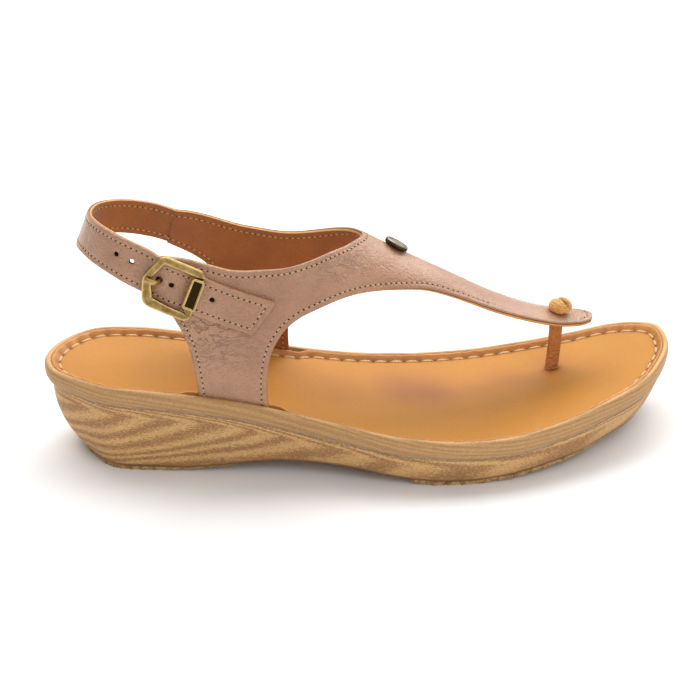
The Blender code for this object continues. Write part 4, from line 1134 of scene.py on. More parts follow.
class QuarterDrawing:
    """T-strap and quarters on the last: flat places are along the foot and round its section."""
    sunk_seam = (57.0, 99.0)
    thickness = LEATHER
    creases = QUARTER_CREASES
    round_scale = DEGREE_SPACING

    @staticmethod
    def surface(flat):
        """Outer side of the leather at flat places."""
        return last_surface(flat[..., 0], flat[..., 1] / DEGREE_SPACING)

    @staticmethod
    def facing(flat):
        """Outward direction at flat places."""
        return last_normal(flat[..., 0], flat[..., 1] / DEGREE_SPACING)

    @staticmethod
    def outline(step=OUTLINE_STEP):
        """Closed outline, one smooth run per edge."""
        runs = [curve_through([(p.x, p.turn * DEGREE_SPACING) for p in edge], step)
                for edge in (COLLAR, MEDIAL_BACK, MEDIAL_FRONT, LATERAL_BACK)]
        feet = [(MEDIAL_BACK[-1].x, MEDIAL_FRONT[0].x, 90.0),
                (MEDIAL_FRONT[-1].x, LATERAL_BACK[0].x, -90.0)]
        foot_runs = []
        for start, end, turn in feet:
            x = np.linspace(start, end, int(abs(end - start) / step))[1:-1]
            foot_runs.append(np.column_stack([x, np.full(len(x), turn * DEGREE_SPACING)]))
        return np.vstack([runs[0], runs[1][1:], foot_runs[0], runs[2], foot_runs[1], runs[3][:-1]])

    @staticmethod
    def holes():
        """Slot that the toe post passes through."""
        half_sizes = 0.5 * np.array([POST_WIDTH, POST_THICKNESS]) + 2 * GAP
        return [np.array([POST_X, POST_SLOT_SHIFT]) + half_sizes * unit_circle(HOLE_SIDES)]


class StrapDrawing:
    """Heel strap: flat places are the length from its tip and the distance above its middle."""
    sunk_seam = (0.0, 0.0)
    thickness = STRAP_THICKNESS
    creases = STRAP_CREASES
    round_scale = 1.0

    @staticmethod
    def surface(flat):
        """Outer side of the leather at flat places."""
        middle, _, up, outward = strap_frame(flat[..., 0])
        return middle + up * flat[..., 1:2] + outward * STRAP_THICKNESS

    @staticmethod
    def facing(flat):
        """Outward direction at flat places."""
        return strap_frame(flat[..., 0])[3]

    @staticmethod
    def outline(step=OUTLINE_STEP):
        """Closed outline with the slanted tip and softened corners."""
        total = STRAP_RUNNING[-1]
        tip_width, end_width = strap_width(0.0), strap_width(total)
        top = np.linspace(STRAP_TIP_CORNER, total, int(total / step))
        bottom = np.linspace(total, STRAP_TIP_SLANT * tip_width + STRAP_TIP_CORNER, int(total / step))
        end = np.linspace(0.5, -0.5, int(end_width / step))[1:-1] * end_width
        slant = np.linspace(-STRAP_TIP_SHARE, STRAP_TIP_SHARE, int(1.2 * tip_width / step)) * tip_width
        runs = [np.column_stack([top, 0.5 * strap_width(top)]),
                np.column_stack([np.full(len(end), total), end]),
                np.column_stack([bottom, -0.5 * strap_width(bottom)]),
                np.column_stack([STRAP_TIP_SLANT * (0.5 * tip_width - slant), slant])]
        return np.vstack(runs)

    @staticmethod
    def holes():
        """Row of punched holes."""
        circle = unit_circle(HOLE_SIDES)
        return [hole.radius * circle + np.array([hole.place, hole.above]) for hole in STRAP_HOLES]


def nearest(points, others):
    """Distance from each point to the nearest of some others."""
    tree = KDTree(len(others))
    for index, other in enumerate(others):
        tree.insert(other, index)
    tree.balance()
    return np.array([tree.find(point)[2] for point in points])


def flat_area(loop):
    """Signed area of a closed flat loop."""
    ahead = np.roll(loop, -1, axis=0)
    return 0.5 * np.sum(loop[:, 0] * ahead[:, 1] - ahead[:, 0] * loop[:, 1])


def inset_loop(drawing, loop, distance):
    """Closed flat loop moved inwards over the leather by a distance."""
    points = drawing.surface(loop)
    way = unit(np.roll(points, -1, axis=0) - np.roll(points, 1, axis=0))
    inward = np.cross(drawing.facing(loop), way)
    step = 0.1
    along = (drawing.surface(loop + (step, 0.0)) - drawing.surface(loop - (step, 0.0))) / (2 * step)
    across = (drawing.surface(loop + (0.0, step)) - drawing.surface(loop - (0.0, step))) / (2 * step)
    aa, ab, bb = np.sum(along ** 2, 1), np.sum(along * across, 1), np.sum(across ** 2, 1)
    ra, rb = np.sum(along * inward, 1), np.sum(across * inward, 1)
    scale = distance / np.maximum(aa * bb - ab ** 2, 1e-6)
    move = np.column_stack([scale * (ra * bb - rb * ab), scale * (rb * aa - ra * ab)])
    shrunk = abs(flat_area(loop + move)) < abs(flat_area(loop))
    return loop + move if shrunk else loop - move


def crease_relief(drawing, points):
    """Height of the creases at points of the leather: troughs with a low ridge on both sides."""
    relief = np.zeros(len(points))
    for crease in drawing.creases:
        start = np.array([crease.from_along, crease.from_round * drawing.round_scale])
        end = np.array([crease.to_along, crease.to_round * drawing.round_scale])
        share = np.linspace(0.0, 1.0, CREASE_SAMPLES)[:, None]
        line = drawing.surface(start + (end - start) * share)
        close = np.linalg.norm(points - line.mean(axis=0), axis=1) < CREASE_REACH
        gap = np.linalg.norm(points[close][:, None] - line[None], axis=2)
        fade = np.sin(math.pi * np.clip(gap.argmin(axis=1) / (CREASE_SAMPLES - 1), 0.04, 0.96))
        near = gap.min(axis=1) / crease.width
        relief[close] -= crease.depth * fade * (1.0 - 0.8 * near ** 2) * np.exp(-near ** 2)
    return relief


def leather_panel(drawing):
    """Wall of leather: grained outer skin, lining, and a rounded two-layer edge with a sewn groove."""
    outline = drawing.outline()
    loops = [outline] + drawing.holes()
    edge_points = drawing.surface(outline)
    seeds = []
    for distance in EDGE_RINGS:
        moved = inset_loop(drawing, outline, distance)
        away = nearest(drawing.surface(moved), edge_points)
        seeds.append(moved[away > RING_SHARE * distance])
    low, high = outline.min(axis=0), outline.max(axis=0)
    columns = np.arange(low[0], high[0], GRID_STEP[0])
    rows = np.arange(low[1], high[1], GRID_STEP[1])
    grid = np.array([(a, b) for a in columns for b in rows])
    seeds.append(grid[nearest(drawing.surface(grid), edge_points) > EDGE_RINGS[-1] + GRID_ROOM])
    inner = np.vstack(seeds)
    for hole in loops[1:]:
        inner = inner[nearest(drawing.surface(inner), drawing.surface(hole)) > HOLE_ROOM]
    every = np.vstack(loops + [inner])
    border, first = [], 0
    for loop in loops:
        border.append(list(range(first, first + len(loop))))
        first += len(loop)
    flat, _, triangles, _, _, _ = delaunay_2d_cdt([Vector(p) for p in every], [], border, 1, 1e-6)
    flat = np.array([tuple(p) for p in flat])
    triangles = np.array([tuple(t) for t in triangles])
    middles = flat[triangles].mean(axis=1)
    for hole in loops[1:]:
        reach = np.linalg.norm(hole - hole.mean(axis=0), axis=1).max()
        close = np.linalg.norm(middles - hole.mean(axis=0), axis=1) < reach
        inside = close & np.array([point_inside(m, hole) if c else False for m, c in zip(middles, close)])
        triangles, middles = triangles[~inside], middles[~inside]
    used = np.unique(triangles)
    renumber = np.full(len(flat), -1)
    renumber[used] = np.arange(len(used))
    flat, triangles = flat[used], renumber[triangles]
    punched = np.vstack([drawing.surface(loop) for loop in loops[1:]])
    return panel_skin(drawing, flat, triangles, edge_points, punched)


def point_inside(point, loop):
    """True where a flat point is inside a closed loop."""
    ahead = np.roll(loop, -1, axis=0)
    cross = (loop[:, 1] > point[1]) != (ahead[:, 1] > point[1])
    rise = np.where(cross, ahead[:, 1] - loop[:, 1], 1.0)
    at = loop[:, 0] + (point[1] - loop[:, 1]) / rise * (ahead[:, 0] - loop[:, 0])
    return bool(np.sum(cross & (point[0] < at)) % 2)


def edge_drop(distance, radius):
    """How far a rounded edge falls away at a distance from the cut."""
    near = np.clip(1.0 - distance / radius, 0.0, 1.0)
    return radius * (1.0 - np.sqrt(1.0 - near ** 2))


def panel_skin(drawing, flat, triangles, rims, punched):
    """Points, faces and finish numbers of a panel from its flat triangles."""
    base = drawing.surface(flat)
    facing = drawing.facing(flat)
    away = nearest(base, rims)
    from_hole = nearest(base, punched)
    relief = crease_relief(drawing, base)
    seam = SEAM_DEPTH * bump(away - bpy.context.scene.sandal_stitch.edge_inset / MM, SEAM_WIDTH)
    fall = edge_drop(away, EDGE_ROUND) + edge_drop(from_hole, HOLE_ROUND)
    outer = base + facing * (relief - seam - fall)[:, None]
    lining_depth = drawing.thickness - edge_drop(away, LINING_ROUND) - LINING_RELIEF * relief
    lining = base - facing * lining_depth[:, None]
    count = len(flat)
    faces = [tuple(t) for t in triangles] + [tuple(t[::-1] + count) for t in triangles]
    kinds = [OUTER] * len(triangles) + [LINING] * len(triangles)
    sides = set()
    for t in triangles:
        sides.update(zip(t, np.roll(t, -1)))
    rows = {}
    extra = []
    for a, b in sides:
        if (b, a) in sides:
            continue
        for vertex in (a, b):
            if vertex not in rows:
                rows[vertex] = 2 * count + len(extra)
                extra.append(outer[vertex] + EDGE_SPLIT * (lining[vertex] - outer[vertex]))
        faces.append((b, a, rows[a], rows[b]))
        faces.append((rows[b], rows[a], a + count, b + count))
        # walls of punched holes get the painted shade finish
        kinds += [PUNCHED_SHADE, PUNCHED_SHADE] if from_hole[a] < away[a] else [OUTER_EDGE, LINING_EDGE]
    return np.vstack([outer, lining, extra]), faces, kinds


# Sewing

def seam_runs(drawing, inner_side):
    """Polylines of a seam that follows a panel's edges, with outward directions, in the drawing."""
    inset = bpy.context.scene.sandal_stitch.edge_inset / MM
    outline = drawing.outline(SEAM_STEP)
    edge_points = drawing.surface(outline)
    path = inset_loop(drawing, outline, inset)
    away = nearest(drawing.surface(path), edge_points)
    keep = (away > SEAM_SHARE * inset) & (np.abs(path[:, 1]) < SEAM_END * DEGREE_SPACING)
    facing = drawing.facing(path)
    surface = drawing.surface(path)
    lift = THREAD_LIFT - SEAM_DEPTH
    if inner_side:
        surface = surface - facing * drawing.thickness
        facing = -facing
        lift = LINING_THREAD_LIFT
    else:
        back, front = drawing.sunk_seam
        keep &= (path[:, 0] < back) | (path[:, 0] > front) | (path[:, 1] > 0.0)
    surface = surface + facing * lift
    start = int(np.argmin(keep))
    order = np.roll(np.arange(len(path)), -start)
    runs, run = [], []
    for index in order:
        if keep[index]:
            run.append(index)
        elif run:
            runs.append(run)
            run = []
    if run:
        runs.append(run)
    return [(surface[r], facing[r]) for r in runs if len(r) > SEAM_LEAST]


def path_object(name, runs):
    """Mesh of bare edges along polylines, with the outward direction of the seam on each point."""
    mesh = bpy.data.meshes.new(name)
    points = np.vstack([run[0] for run in runs])
    facing = np.vstack([run[1] for run in runs])
    edges, first = [], 0
    for run, _ in runs:
        edges += [(first + i, first + i + 1) for i in range(len(run) - 1)]
        first += len(run)
    mesh.from_pydata(world(points).tolist(), edges, [])
    layer = mesh.attributes.new("facing", "FLOAT_VECTOR", "POINT")
    layer.data.foreach_set("vector", facing.astype(np.float32).ravel())
    piece = bpy.data.objects.new(name, mesh)
    bpy.context.collection.objects.link(piece)
    return piece


def sewing_tree():
    """Geometry Nodes tree: stitches and dark blobs of painted needle-hole shade in turn along the piece's
    edges.
    """
    tree = bpy.data.node_groups.new("sandal_sewing", "GeometryNodeTree")
    face = tree.interface
    face.new_socket("Geometry", in_out="INPUT", socket_type="NodeSocketGeometry")
    for label in ("Pitch", "Stitch Length", "Stitch Width", "Hole Width"):
        socket = face.new_socket(label, in_out="INPUT", socket_type="NodeSocketFloat")
        socket.subtype = "DISTANCE"
    face.new_socket("Thread", in_out="INPUT", socket_type="NodeSocketMaterial")
    face.new_socket("Needle Hole", in_out="INPUT", socket_type="NodeSocketMaterial")
    face.new_socket("Geometry", in_out="OUTPUT", socket_type="NodeSocketGeometry")

    def add(kind, inputs=None, **settings):
        node = tree.nodes.new(kind)
        for key, value in settings.items():
            setattr(node, key, value)
        for key, value in (inputs or {}).items():
            if isinstance(value, bpy.types.NodeSocket):
                tree.links.new(value, node.inputs[key])
            else:
                node.inputs[key].default_value = value
        return node

    given = add("NodeGroupInput").outputs
    half_pitch = add("ShaderNodeMath", {0: given["Pitch"], 1: 0.5}, operation="MULTIPLY").outputs[0]
    curve = add("GeometryNodeMeshToCurve", {"Mesh": given["Geometry"]}).outputs["Curve"]
    spaced = {"Curve": curve, "Length": half_pitch}
    line = add("GeometryNodeResampleCurve", spaced, mode="LENGTH").outputs["Curve"]
    facing = add("GeometryNodeInputNamedAttribute", {"Name": "facing"}, data_type="FLOAT_VECTOR").outputs[0]
    tangent = add("GeometryNodeInputTangent").outputs[0]
    ahead = add("FunctionNodeAlignRotationToVector", {"Vector": tangent}, axis="X").outputs[0]
    turned = add("FunctionNodeAlignRotationToVector", {"Rotation": ahead, "Vector": facing},
                 axis="Z", pivot_axis="X").outputs[0]
    index = add("GeometryNodeInputIndex").outputs[0]
    odd = add("ShaderNodeMath", {0: index, 1: 2.0}, operation="MODULO").outputs[0]
    even = add("ShaderNodeMath", {0: 1.0, 1: odd}, operation="SUBTRACT").outputs[0]
    made = []
    # the hole branch makes dark blobs of painted shade for the needle holes
    for label, chosen, long, wide, high, finish in (
            ("stitch", odd, "Stitch Length", "Stitch Width", 0.8, "Thread"),
            ("hole", even, "Hole Width", "Hole Width", 0.25, "Needle Hole")):
        low = add("ShaderNodeMath", {0: given[wide], 1: high}, operation="MULTIPLY").outputs[0]
        size = add("ShaderNodeCombineXYZ", {0: given[long], 1: given[wide], 2: low}).outputs[0]
        ball = add("GeometryNodeMeshUVSphere", {"Segments": 8, "Rings": 6, "Radius": 0.5}).outputs["Mesh"]
        shape = add("GeometryNodeTransform", {"Geometry": ball, "Scale": size}).outputs["Geometry"]
        places = {"Points": line, "Selection": chosen, "Instance": shape, "Rotation": turned}
        placed = add("GeometryNodeInstanceOnPoints", places).outputs["Instances"]
        real = add("GeometryNodeRealizeInstances", {"Geometry": placed}).outputs["Geometry"]
        smoothed = add("GeometryNodeSetShadeSmooth", {"Geometry": real}).outputs["Geometry"]
        coloured = {"Geometry": smoothed, "Material": given[finish]}
        made.append(add("GeometryNodeSetMaterial", coloured).outputs[0])
    joined = add("GeometryNodeJoinGeometry")
    for branch in made:
        tree.links.new(branch, joined.inputs[0])
    add("NodeGroupOutput", {0: joined.outputs[0]})
    return tree


def sew(piece, values):
    """Runs the sewing tree on a path object and keeps its result as a plain mesh."""
    tree = bpy.data.node_groups.get("sandal_sewing") or sewing_tree()
    modifier = piece.modifiers.new("sewing", "NODES")
    modifier.node_group = tree
    for socket in tree.interface.items_tree:
        if socket.in_out == "INPUT" and socket.name in values:
            modifier[socket.identifier] = values[socket.name]
    graph = bpy.context.evaluated_depsgraph_get()
    sewn = bpy.data.meshes.new_from_object(piece.evaluated_get(graph))
    piece.modifiers.remove(modifier)
    piece.data = sewn
    if not sewn.polygons:
        raise RuntimeError("no stitches on " + piece.name)


def sew_edges(name, drawings, inner_side):
    """Fine stitches along the edges of leather panels, on their outer side or on their lining."""
    look = bpy.context.scene.sandal_stitch
    thread = look.lining_thread_colour if inner_side else look.thread_colour
    hole_share = LINING_HOLE_SHARE if inner_side else 1.0
    runs = [run for drawing in drawings for run in seam_runs(drawing, inner_side)]
    piece = path_object(name, runs)
    sew(piece, {"Pitch": look.pitch,
                "Stitch Length": look.stitch_length,
                "Stitch Width": look.stitch_width,
                "Hole Width": hole_share * look.hole_width,
                "Thread": thread_finish(name + "_thread", thread),
                "Needle Hole": needle_finish()})
    dress(piece, "upper_leather")


# Insole

def insole_inset(plan):
    """Inset of the insole's edge: close to the cup's wall, with room left for the quarters' feet."""
    inset = np.full(len(plan.edge), RIM_WIDTH + LIP_GAP)
    half = len(plan.edge) // 2
    x = plan.edge[:, 0]
    feet = ((LATERAL_BACK[0].x, MEDIAL_FRONT[-1].x, np.arange(len(x)) <= half),
            (MEDIAL_BACK[-1].x, MEDIAL_FRONT[0].x, np.arange(len(x)) >= half))
    for back, front, side in feet:
        inside = np.minimum(x - back + ROOM_BLEND, front + ROOM_BLEND - x) / ROOM_BLEND
        inset = np.where(side, inset + QUARTER_ROOM * np.clip(2.0 * inside, 0.0, 1.0), inset)
    return inset


def lip_seam(plan):
    """Ring of the lip's sewn groove, and how far along a stitch each of its points is."""
    drop = -LIP[LIP_SEAM_ROW].rise
    inset = insole_inset(plan) + LIP_SEAM_INSET + CUP_LEAN * wall_shape(plan).tuck * drop
    path = ring(plan, inset, under_rim(drop))
    running = chord_lengths(np.vstack([path, path[:1]]))
    pitch = bpy.context.scene.sandal_stitch.lip_pitch / MM
    count = round(running[-1] / pitch)
    return path, running[:-1] / running[-1] * count


def insole_rings(plan):
    """Rings of the footbed with their finish marks: flat underside, pinched lip with painted shade in its
    groove and pinches, and dished middle.
    """
    lean = CUP_LEAN * wall_shape(plan).tuck
    edge = insole_inset(plan)
    _, stitch = lip_seam(plan)
    pull = np.abs(np.cos(math.pi * stitch)) ** LIP_PULL
    swell = np.cos(2.0 * math.pi * stitch)
    underside = under_rim(CUP_DEPTH - GAP)
    rings = [ring(plan, plan.breadth * share, underside) for share in (1.0, 0.5)]
    rings.append(ring(plan, edge + lean * CUP_DEPTH, underside))
    none = np.zeros(len(edge))
    pinch = [none] * UNDERSIDE_RINGS
    for point in LIP:
        from_seam = point.inset - LIP_SEAM_INSET
        near = float(bump(from_seam, LIP_SOFTNESS))
        inset = edge + point.inset + lean * max(-point.rise, 0.0) - LIP_PINCH * near * pull
        pucker = LIP_PUCKER * float(bump(point.inset - LIP_PUCKER_INSET, LIP_SOFTNESS)) * swell
        drop = -point.rise + LIP_DIP * near * pull + pucker
        rings.append(ring(plan, inset, lambda x: rim_height(x) - drop))
        # painted shade in the lip's groove and at the pinched dips of the stitches
        groove_shade = 0.12 * float(bump(from_seam, 0.5))
        pinch.append(np.clip(groove_shade + 0.4 * near * pull, 0.0, 1.0))
    for share in np.linspace(0.0, 1.0, DISH_RINGS + 1)[1:]:
        inset = edge + LIP[-1].inset + (plan.breadth - edge - LIP[-1].inset) * share
        depth = 1 - (1 - share) ** 2
        rings.append(ring(plan, inset, lambda x: rim_height(x) + LIP[-1].rise - depth * dish_depth(x)))
        pinch.append(none)
    return rings, pinch


def patch_share(flat, patches):
    """Strength of the strongest patch at places in two of the drawing's directions."""
    share = np.zeros(len(flat))
    for patch in patches:
        along = (flat[:, 0] - patch.x) / patch.reach_x
        other = (flat[:, 1] - patch.other) / patch.reach_other
        share = np.maximum(share, patch.strength * np.exp(-along ** 2 - other ** 2))
    return share


# Toe post

def post_path():
    """Middle line of the toe post, from just over the cup's floor into the knot."""
    bottom = float(cup_floor(POST_X)) + POST_LIFT
    top = float(last_surface(POST_X, 0.0)[2]) + POST_TOP
    share = np.linspace(0.0, 1.0, POST_RINGS)
    height = bottom + (top - bottom) * share
    bend = (1 - share) ** 2
    base_x, base_y = POST_BASE_SHIFT
    return np.column_stack([POST_X + base_x * bend, POST_Y + base_y * bend, height])


def tube(path, halves, sides, guide=(1.0, 0.0, 0.0), square=1.0):
    """Capped tube along a path: half sizes along the guide and square to it, rounder at square 1."""
    path = np.asarray(path, float)
    way = unit(np.gradient(path, axis=0))
    guide = np.asarray(guide)
    across = unit(guide - way * (way @ guide)[:, None])
    second = np.cross(way, across)
    angles = (np.arange(sides) + 0.5) * 2 * math.pi / sides
    first_share = np.sign(np.cos(angles)) * np.abs(np.cos(angles)) ** square
    second_share = np.sign(np.sin(angles)) * np.abs(np.sin(angles)) ** square
    halves = np.broadcast_to(np.asarray(halves, float), (len(path), 2))
    shares = np.column_stack([first_share, second_share])
    rings = [middle + (shares * half) @ np.array(ways)
             for middle, half, ways in zip(path, halves, zip(across, second))]
    return capped_loft(rings)


def knot_skin(middle, slope):
    """Two-lobed knot, split by a slanted slit and flat underneath on the sloping strap."""
    work = bmesh.new()
    bmesh.ops.create_uvsphere(work, u_segments=KNOT_SIDES, v_segments=KNOT_RINGS, radius=0.5)
    points = np.array([tuple(v.co) for v in work.verts])
    faces = [tuple(v.index for v in face.verts) for face in work.faces]
    work.free()
    away = unit(points)
    points = points * np.array(KNOT_SIZE)
    turn = math.radians(KNOT_SLIT_TURN)
    from_slit = (points[:, 0] - KNOT_SLIT_SHIFT) * math.cos(turn) + points[:, 1] * math.sin(turn)
    slit = bump(from_slit, KNOT_SLIT) * np.clip(away[:, 2] + 0.35, 0.0, 1.0)
    points = points - away * (KNOT_SLIT_DEPTH * slit)[:, None]
    points[:, 2] = np.maximum(points[:, 2], slope * points[:, 0] - KNOT_SEAT * KNOT_SIZE[2])
    return points + middle, faces, slit


# Buckle and stud

def buckle_place(along, across, rise):
    """Points in the buckle's own directions: along to the heel, across upward, rise outward."""
    along, across, rise = np.broadcast_arrays(*(np.asarray(v, float) for v in (along, across, rise)))
    cos, sin = math.cos(BUCKLE_TURN), math.sin(BUCKLE_TURN)
    forward = along * cos + across * sin
    upward = across * cos - along * sin + BUCKLE_SHIFT
    middle, way, _, _ = strap_frame(BUCKLE_PLACE)
    up = strap_frame(BUCKLE_PLACE + BUCKLE_TWIST * forward)[2]
    outward = unit(np.cross(up, np.broadcast_to(way, up.shape)))
    return middle + forward[..., None] * way + upward[..., None] * up + rise[..., None] * outward


def frame_path():
    """Middle line of the buckle's frame with its outward direction, every corner rounded."""
    corners = np.array([(row.along, row.across) for row in FRAME_CORNERS])
    arcs = []
    for index, row in enumerate(FRAME_CORNERS):
        to_last = unit(corners[index - 1] - corners[index])
        to_next = unit(corners[(index + 1) % len(corners)] - corners[index])
        half = 0.5 * math.acos(to_last @ to_next)
        middle = corners[index] + unit(to_last + to_next) * row.radius / math.sin(half)
        reach = row.radius / math.tan(half)
        first, last = (corners[index] + way * reach - middle for way in (to_last, to_next))
        share = np.linspace(0.0, 1.0, FRAME_CORNER_STEPS)[:, None]
        way = unit((1 - share) * first + share * last)
        arcs.append(np.hstack([middle + row.radius * way, way]))
    path = []
    for arc, after in zip(arcs, arcs[1:] + arcs[:1]):
        share = np.linspace(0.0, 1.0, FRAME_BAR_STEPS)[1:-1, None]
        path += [arc, arc[-1] + (after[0] - arc[-1]) * share]
    return np.vstack(path)


def frame_rings():
    """Rings of the frame, bevelled bars that are thinner under the plate, and how rubbed they are, with
    painted highlights on the top bevels and painted shade underneath.
    """
    plate_end, low_end = FRAME_CORNERS[0], FRAME_CORNERS[3]
    width = 0.5 * FRAME_BAR
    low, high = FRAME_RISE - 0.5 * FRAME_THICKNESS, FRAME_RISE + 0.5 * FRAME_THICKNESS
    rings, rubbed = [], []
    for along, across, out_along, out_across in frame_path():
        top = high
        if along < plate_end.along + 0.1 and abs(across) < plate_end.across - 0.9 * plate_end.radius:
            top = FRAME_RISE
        edge = FRAME_BEVEL * (top - low) / FRAME_THICKNESS
        from_low_end = math.hypot(along - low_end.along, across - low_end.across)
        inner = width + FRAME_GUSSET * float(bump(from_low_end, GUSSET_REACH))
        soft, crown = FRAME_SOFT * edge, FRAME_CROWN_INSET * edge
        shoulder = top + FRAME_SHOULDER
        section = [(-inner, low + edge), (-inner + soft, low + soft), (-inner + edge, low),
                   (width - edge, low), (width - soft, low + soft), (width, low + edge),
                   (width, top - edge), (width - soft, top - soft), (width - edge, top),
                   (width - crown, shoulder), (0.0, top + FRAME_CROWN), (-inner + crown, shoulder),
                   (-inner + edge, top), (-inner + soft, top - soft), (-inner, top - edge)]
        out, rise = np.transpose(section)
        rings.append(buckle_place(along + out * out_along, across + out * out_across, rise))
        rubbed.append(FRAME_RUBBED_AND_PAINTED_LIGHT)
    return rings + rings[:1], np.concatenate(rubbed + rubbed[:1])


def make_frame(finish):
    """Frame with its centre bar, which dips under the strap."""
    rings, rubbed = frame_rings()
    points, faces = loft(rings)
    drop = CENTRE_BAR_DROP
    bend = ((0.0, FRAME_RISE), (0.0, 0.4), (0.6, 0.6 * drop), (2.0, drop))
    upper_half = [(CENTRE_BAR_SIDE - step, rise) for step, rise in bend]
    lower_half = [(-across, rise) for across, rise in reversed(upper_half)]
    bar_path = [buckle_place(0.0, across, rise) for across, rise in upper_half + lower_half]
    half = 0.5 * CENTRE_BAR_SIZE
    bar, bar_faces = tube(curve_through(bar_path, 0.5), (half, half), BAR_SIDES)
    faces += [tuple(i + len(points) for i in face) for face in bar_faces]
    marks = {"rubbed": np.concatenate([rubbed, np.full(len(bar), CENTRE_BAR_RUBBED)])}
    piece = skin_object("brass_frame", np.vstack([points, bar]), faces, [finish], marks=marks)
    dress(piece, "antique_brass", "buckle_frame")


def make_prong(finish):
    """Prong with rounded ends."""
    path = curve_through([buckle_place(p.along, PRONG_SHIFT, p.rise) for p in PRONG], 0.25)
    from_end = np.minimum(chord_lengths(path), chord_lengths(path[::-1])[::-1])
    short = 1.0 - np.clip(from_end / PRONG_ROUND, 0.0, 1.0)
    halves = 0.5 * np.array(PRONG_SIZE) * np.sqrt(np.clip(1.0 - short ** 2, 0.05, 1.0))[:, None]
    points, faces = tube(path, halves, BAR_SIDES, strap_frame(BUCKLE_PLACE)[2], square=PRONG_SQUARE)
    marks = {"rubbed": np.full(len(points), PRONG_RUBBED)}
    piece = skin_object("brass_prong", points, faces, [finish], marks=marks)
    dress(piece, "antique_brass", "buckle_prong")


def make_plate(finish):
    """Plain plate with a raised border round a dark field."""
    long, wide, thick = PLATE_SIZE
    along, across = PLATE_PLACE
    top = FRAME_RISE + GAP + thick
    rings, rubbed = [], []
    for row in PLATE_PROFILE:
        corner = max(PLATE_CORNER - row.inset, 0.25)
        loop = rounded_loop(0.5 * long - row.inset, 0.5 * wide - row.inset, corner)
        rings.append(buckle_place(along + loop[:, 0], across + loop[:, 1], top - row.drop))
        rubbed.append(np.full(len(loop), row.rubbed))
    points, faces = capped_loft(rings)
    marks = {"rubbed": np.concatenate(rubbed)}
    piece = skin_object("brass_plate", points, faces, [finish], marks=marks)
    dress(piece, "antique_brass", "buckle_plate")


def rounded_loop(half_long, half_wide, radius):
    """Rectangle with rounded corners, as a closed loop."""
    loop = []
    for index, (a, b) in enumerate(((1, 1), (-1, 1), (-1, -1), (1, -1))):
        for angle in np.radians(np.linspace(90.0 * index, 90.0 * index + 90.0, 10)):
            loop.append((a * (half_long - radius) + radius * math.cos(angle),
                         b * (half_wide - radius) + radius * math.sin(angle)))
    return np.array(loop)


# Stage

def make_floor():
    """Wide pale floor under the shoe."""
    corners = ((-1, -1), (1, -1), (1, 1), (-1, 1))
    mesh = bpy.data.meshes.new("studio_floor")
    mesh.from_pydata([(a * FLOOR_HALF, b * FLOOR_HALF, 0.0) for a, b in corners], [], [(0, 1, 2, 3)])
    floor = bpy.data.objects.new("studio_floor", mesh)
    bpy.context.collection.objects.link(floor)
    finish = Finish("studio_white")
    tone = bpy.context.scene.sandal_stage.floor_colour
    dust = finish.noise((3.0, 3.0, 3.0), 2.0)
    tint = finish.mix(dust, tone, shade(tone, 0.985))
    finish.set(Base_Color=tint, Roughness=0.9, Specular_IOR_Level=0.1)
    mesh.materials.append(finish.material)


def make_lights():
    """Soft boxes and an even white fill."""
    look = bpy.context.scene.sandal_stage
    for box in SOFT_BOXES:
        light = bpy.data.lights.new(box.name, "AREA")
        light.energy = getattr(look, box.power)
        light.shape = "RECTANGLE"
        light.size, light.size_y = box.size
        lamp = bpy.data.objects.new(box.name, light)
        lamp.location = box.place
        to_target = Vector(LIGHT_TARGET) - Vector(box.place)
        lamp.rotation_euler = to_target.to_track_quat("-Z", "Y").to_euler()
        bpy.context.collection.objects.link(lamp)
    sky = bpy.data.worlds.new("studio_fill")
    sky.use_nodes = True
    background = sky.node_tree.nodes["Background"]
    background.inputs["Color"].default_value = (1.0, 1.0, 1.0, 1.0)
    background.inputs["Strength"].default_value = look.fill_strength
    bpy.context.scene.world = sky
    bpy.context.scene.view_settings.view_transform = "Standard"


def make_camera():
    """Camera as fitted to the photograph."""
    look = bpy.context.scene.sandal_stage
    lens = bpy.data.cameras.new("photo_camera")
    lens.lens = look.lens
    camera = bpy.data.objects.new("photo_camera", lens)
    turn, lift = look.azimuth, look.elevation
    back = Vector((math.sin(turn) * math.cos(lift), -math.cos(turn) * math.cos(lift), math.sin(lift)))
    target = Vector((*world((0.0, 0.0, 0.0))[:2], look.target_height))
    camera.location = target + look.distance * back
    camera.rotation_euler = (-back).to_track_quat("-Z", "Y").to_euler()
    bpy.context.collection.objects.link(camera)
    bpy.context.scene.camera = camera


# Operators

class SANDAL_OT_stage(bpy.types.Operator):
    """Pale floor, soft studio lights and the camera."""
    bl_idname = "sandal.stage"
    bl_label = "Stage"

    def execute(self, context):
        make_floor()
        make_lights()
        make_camera()
        return {"FINISHED"}


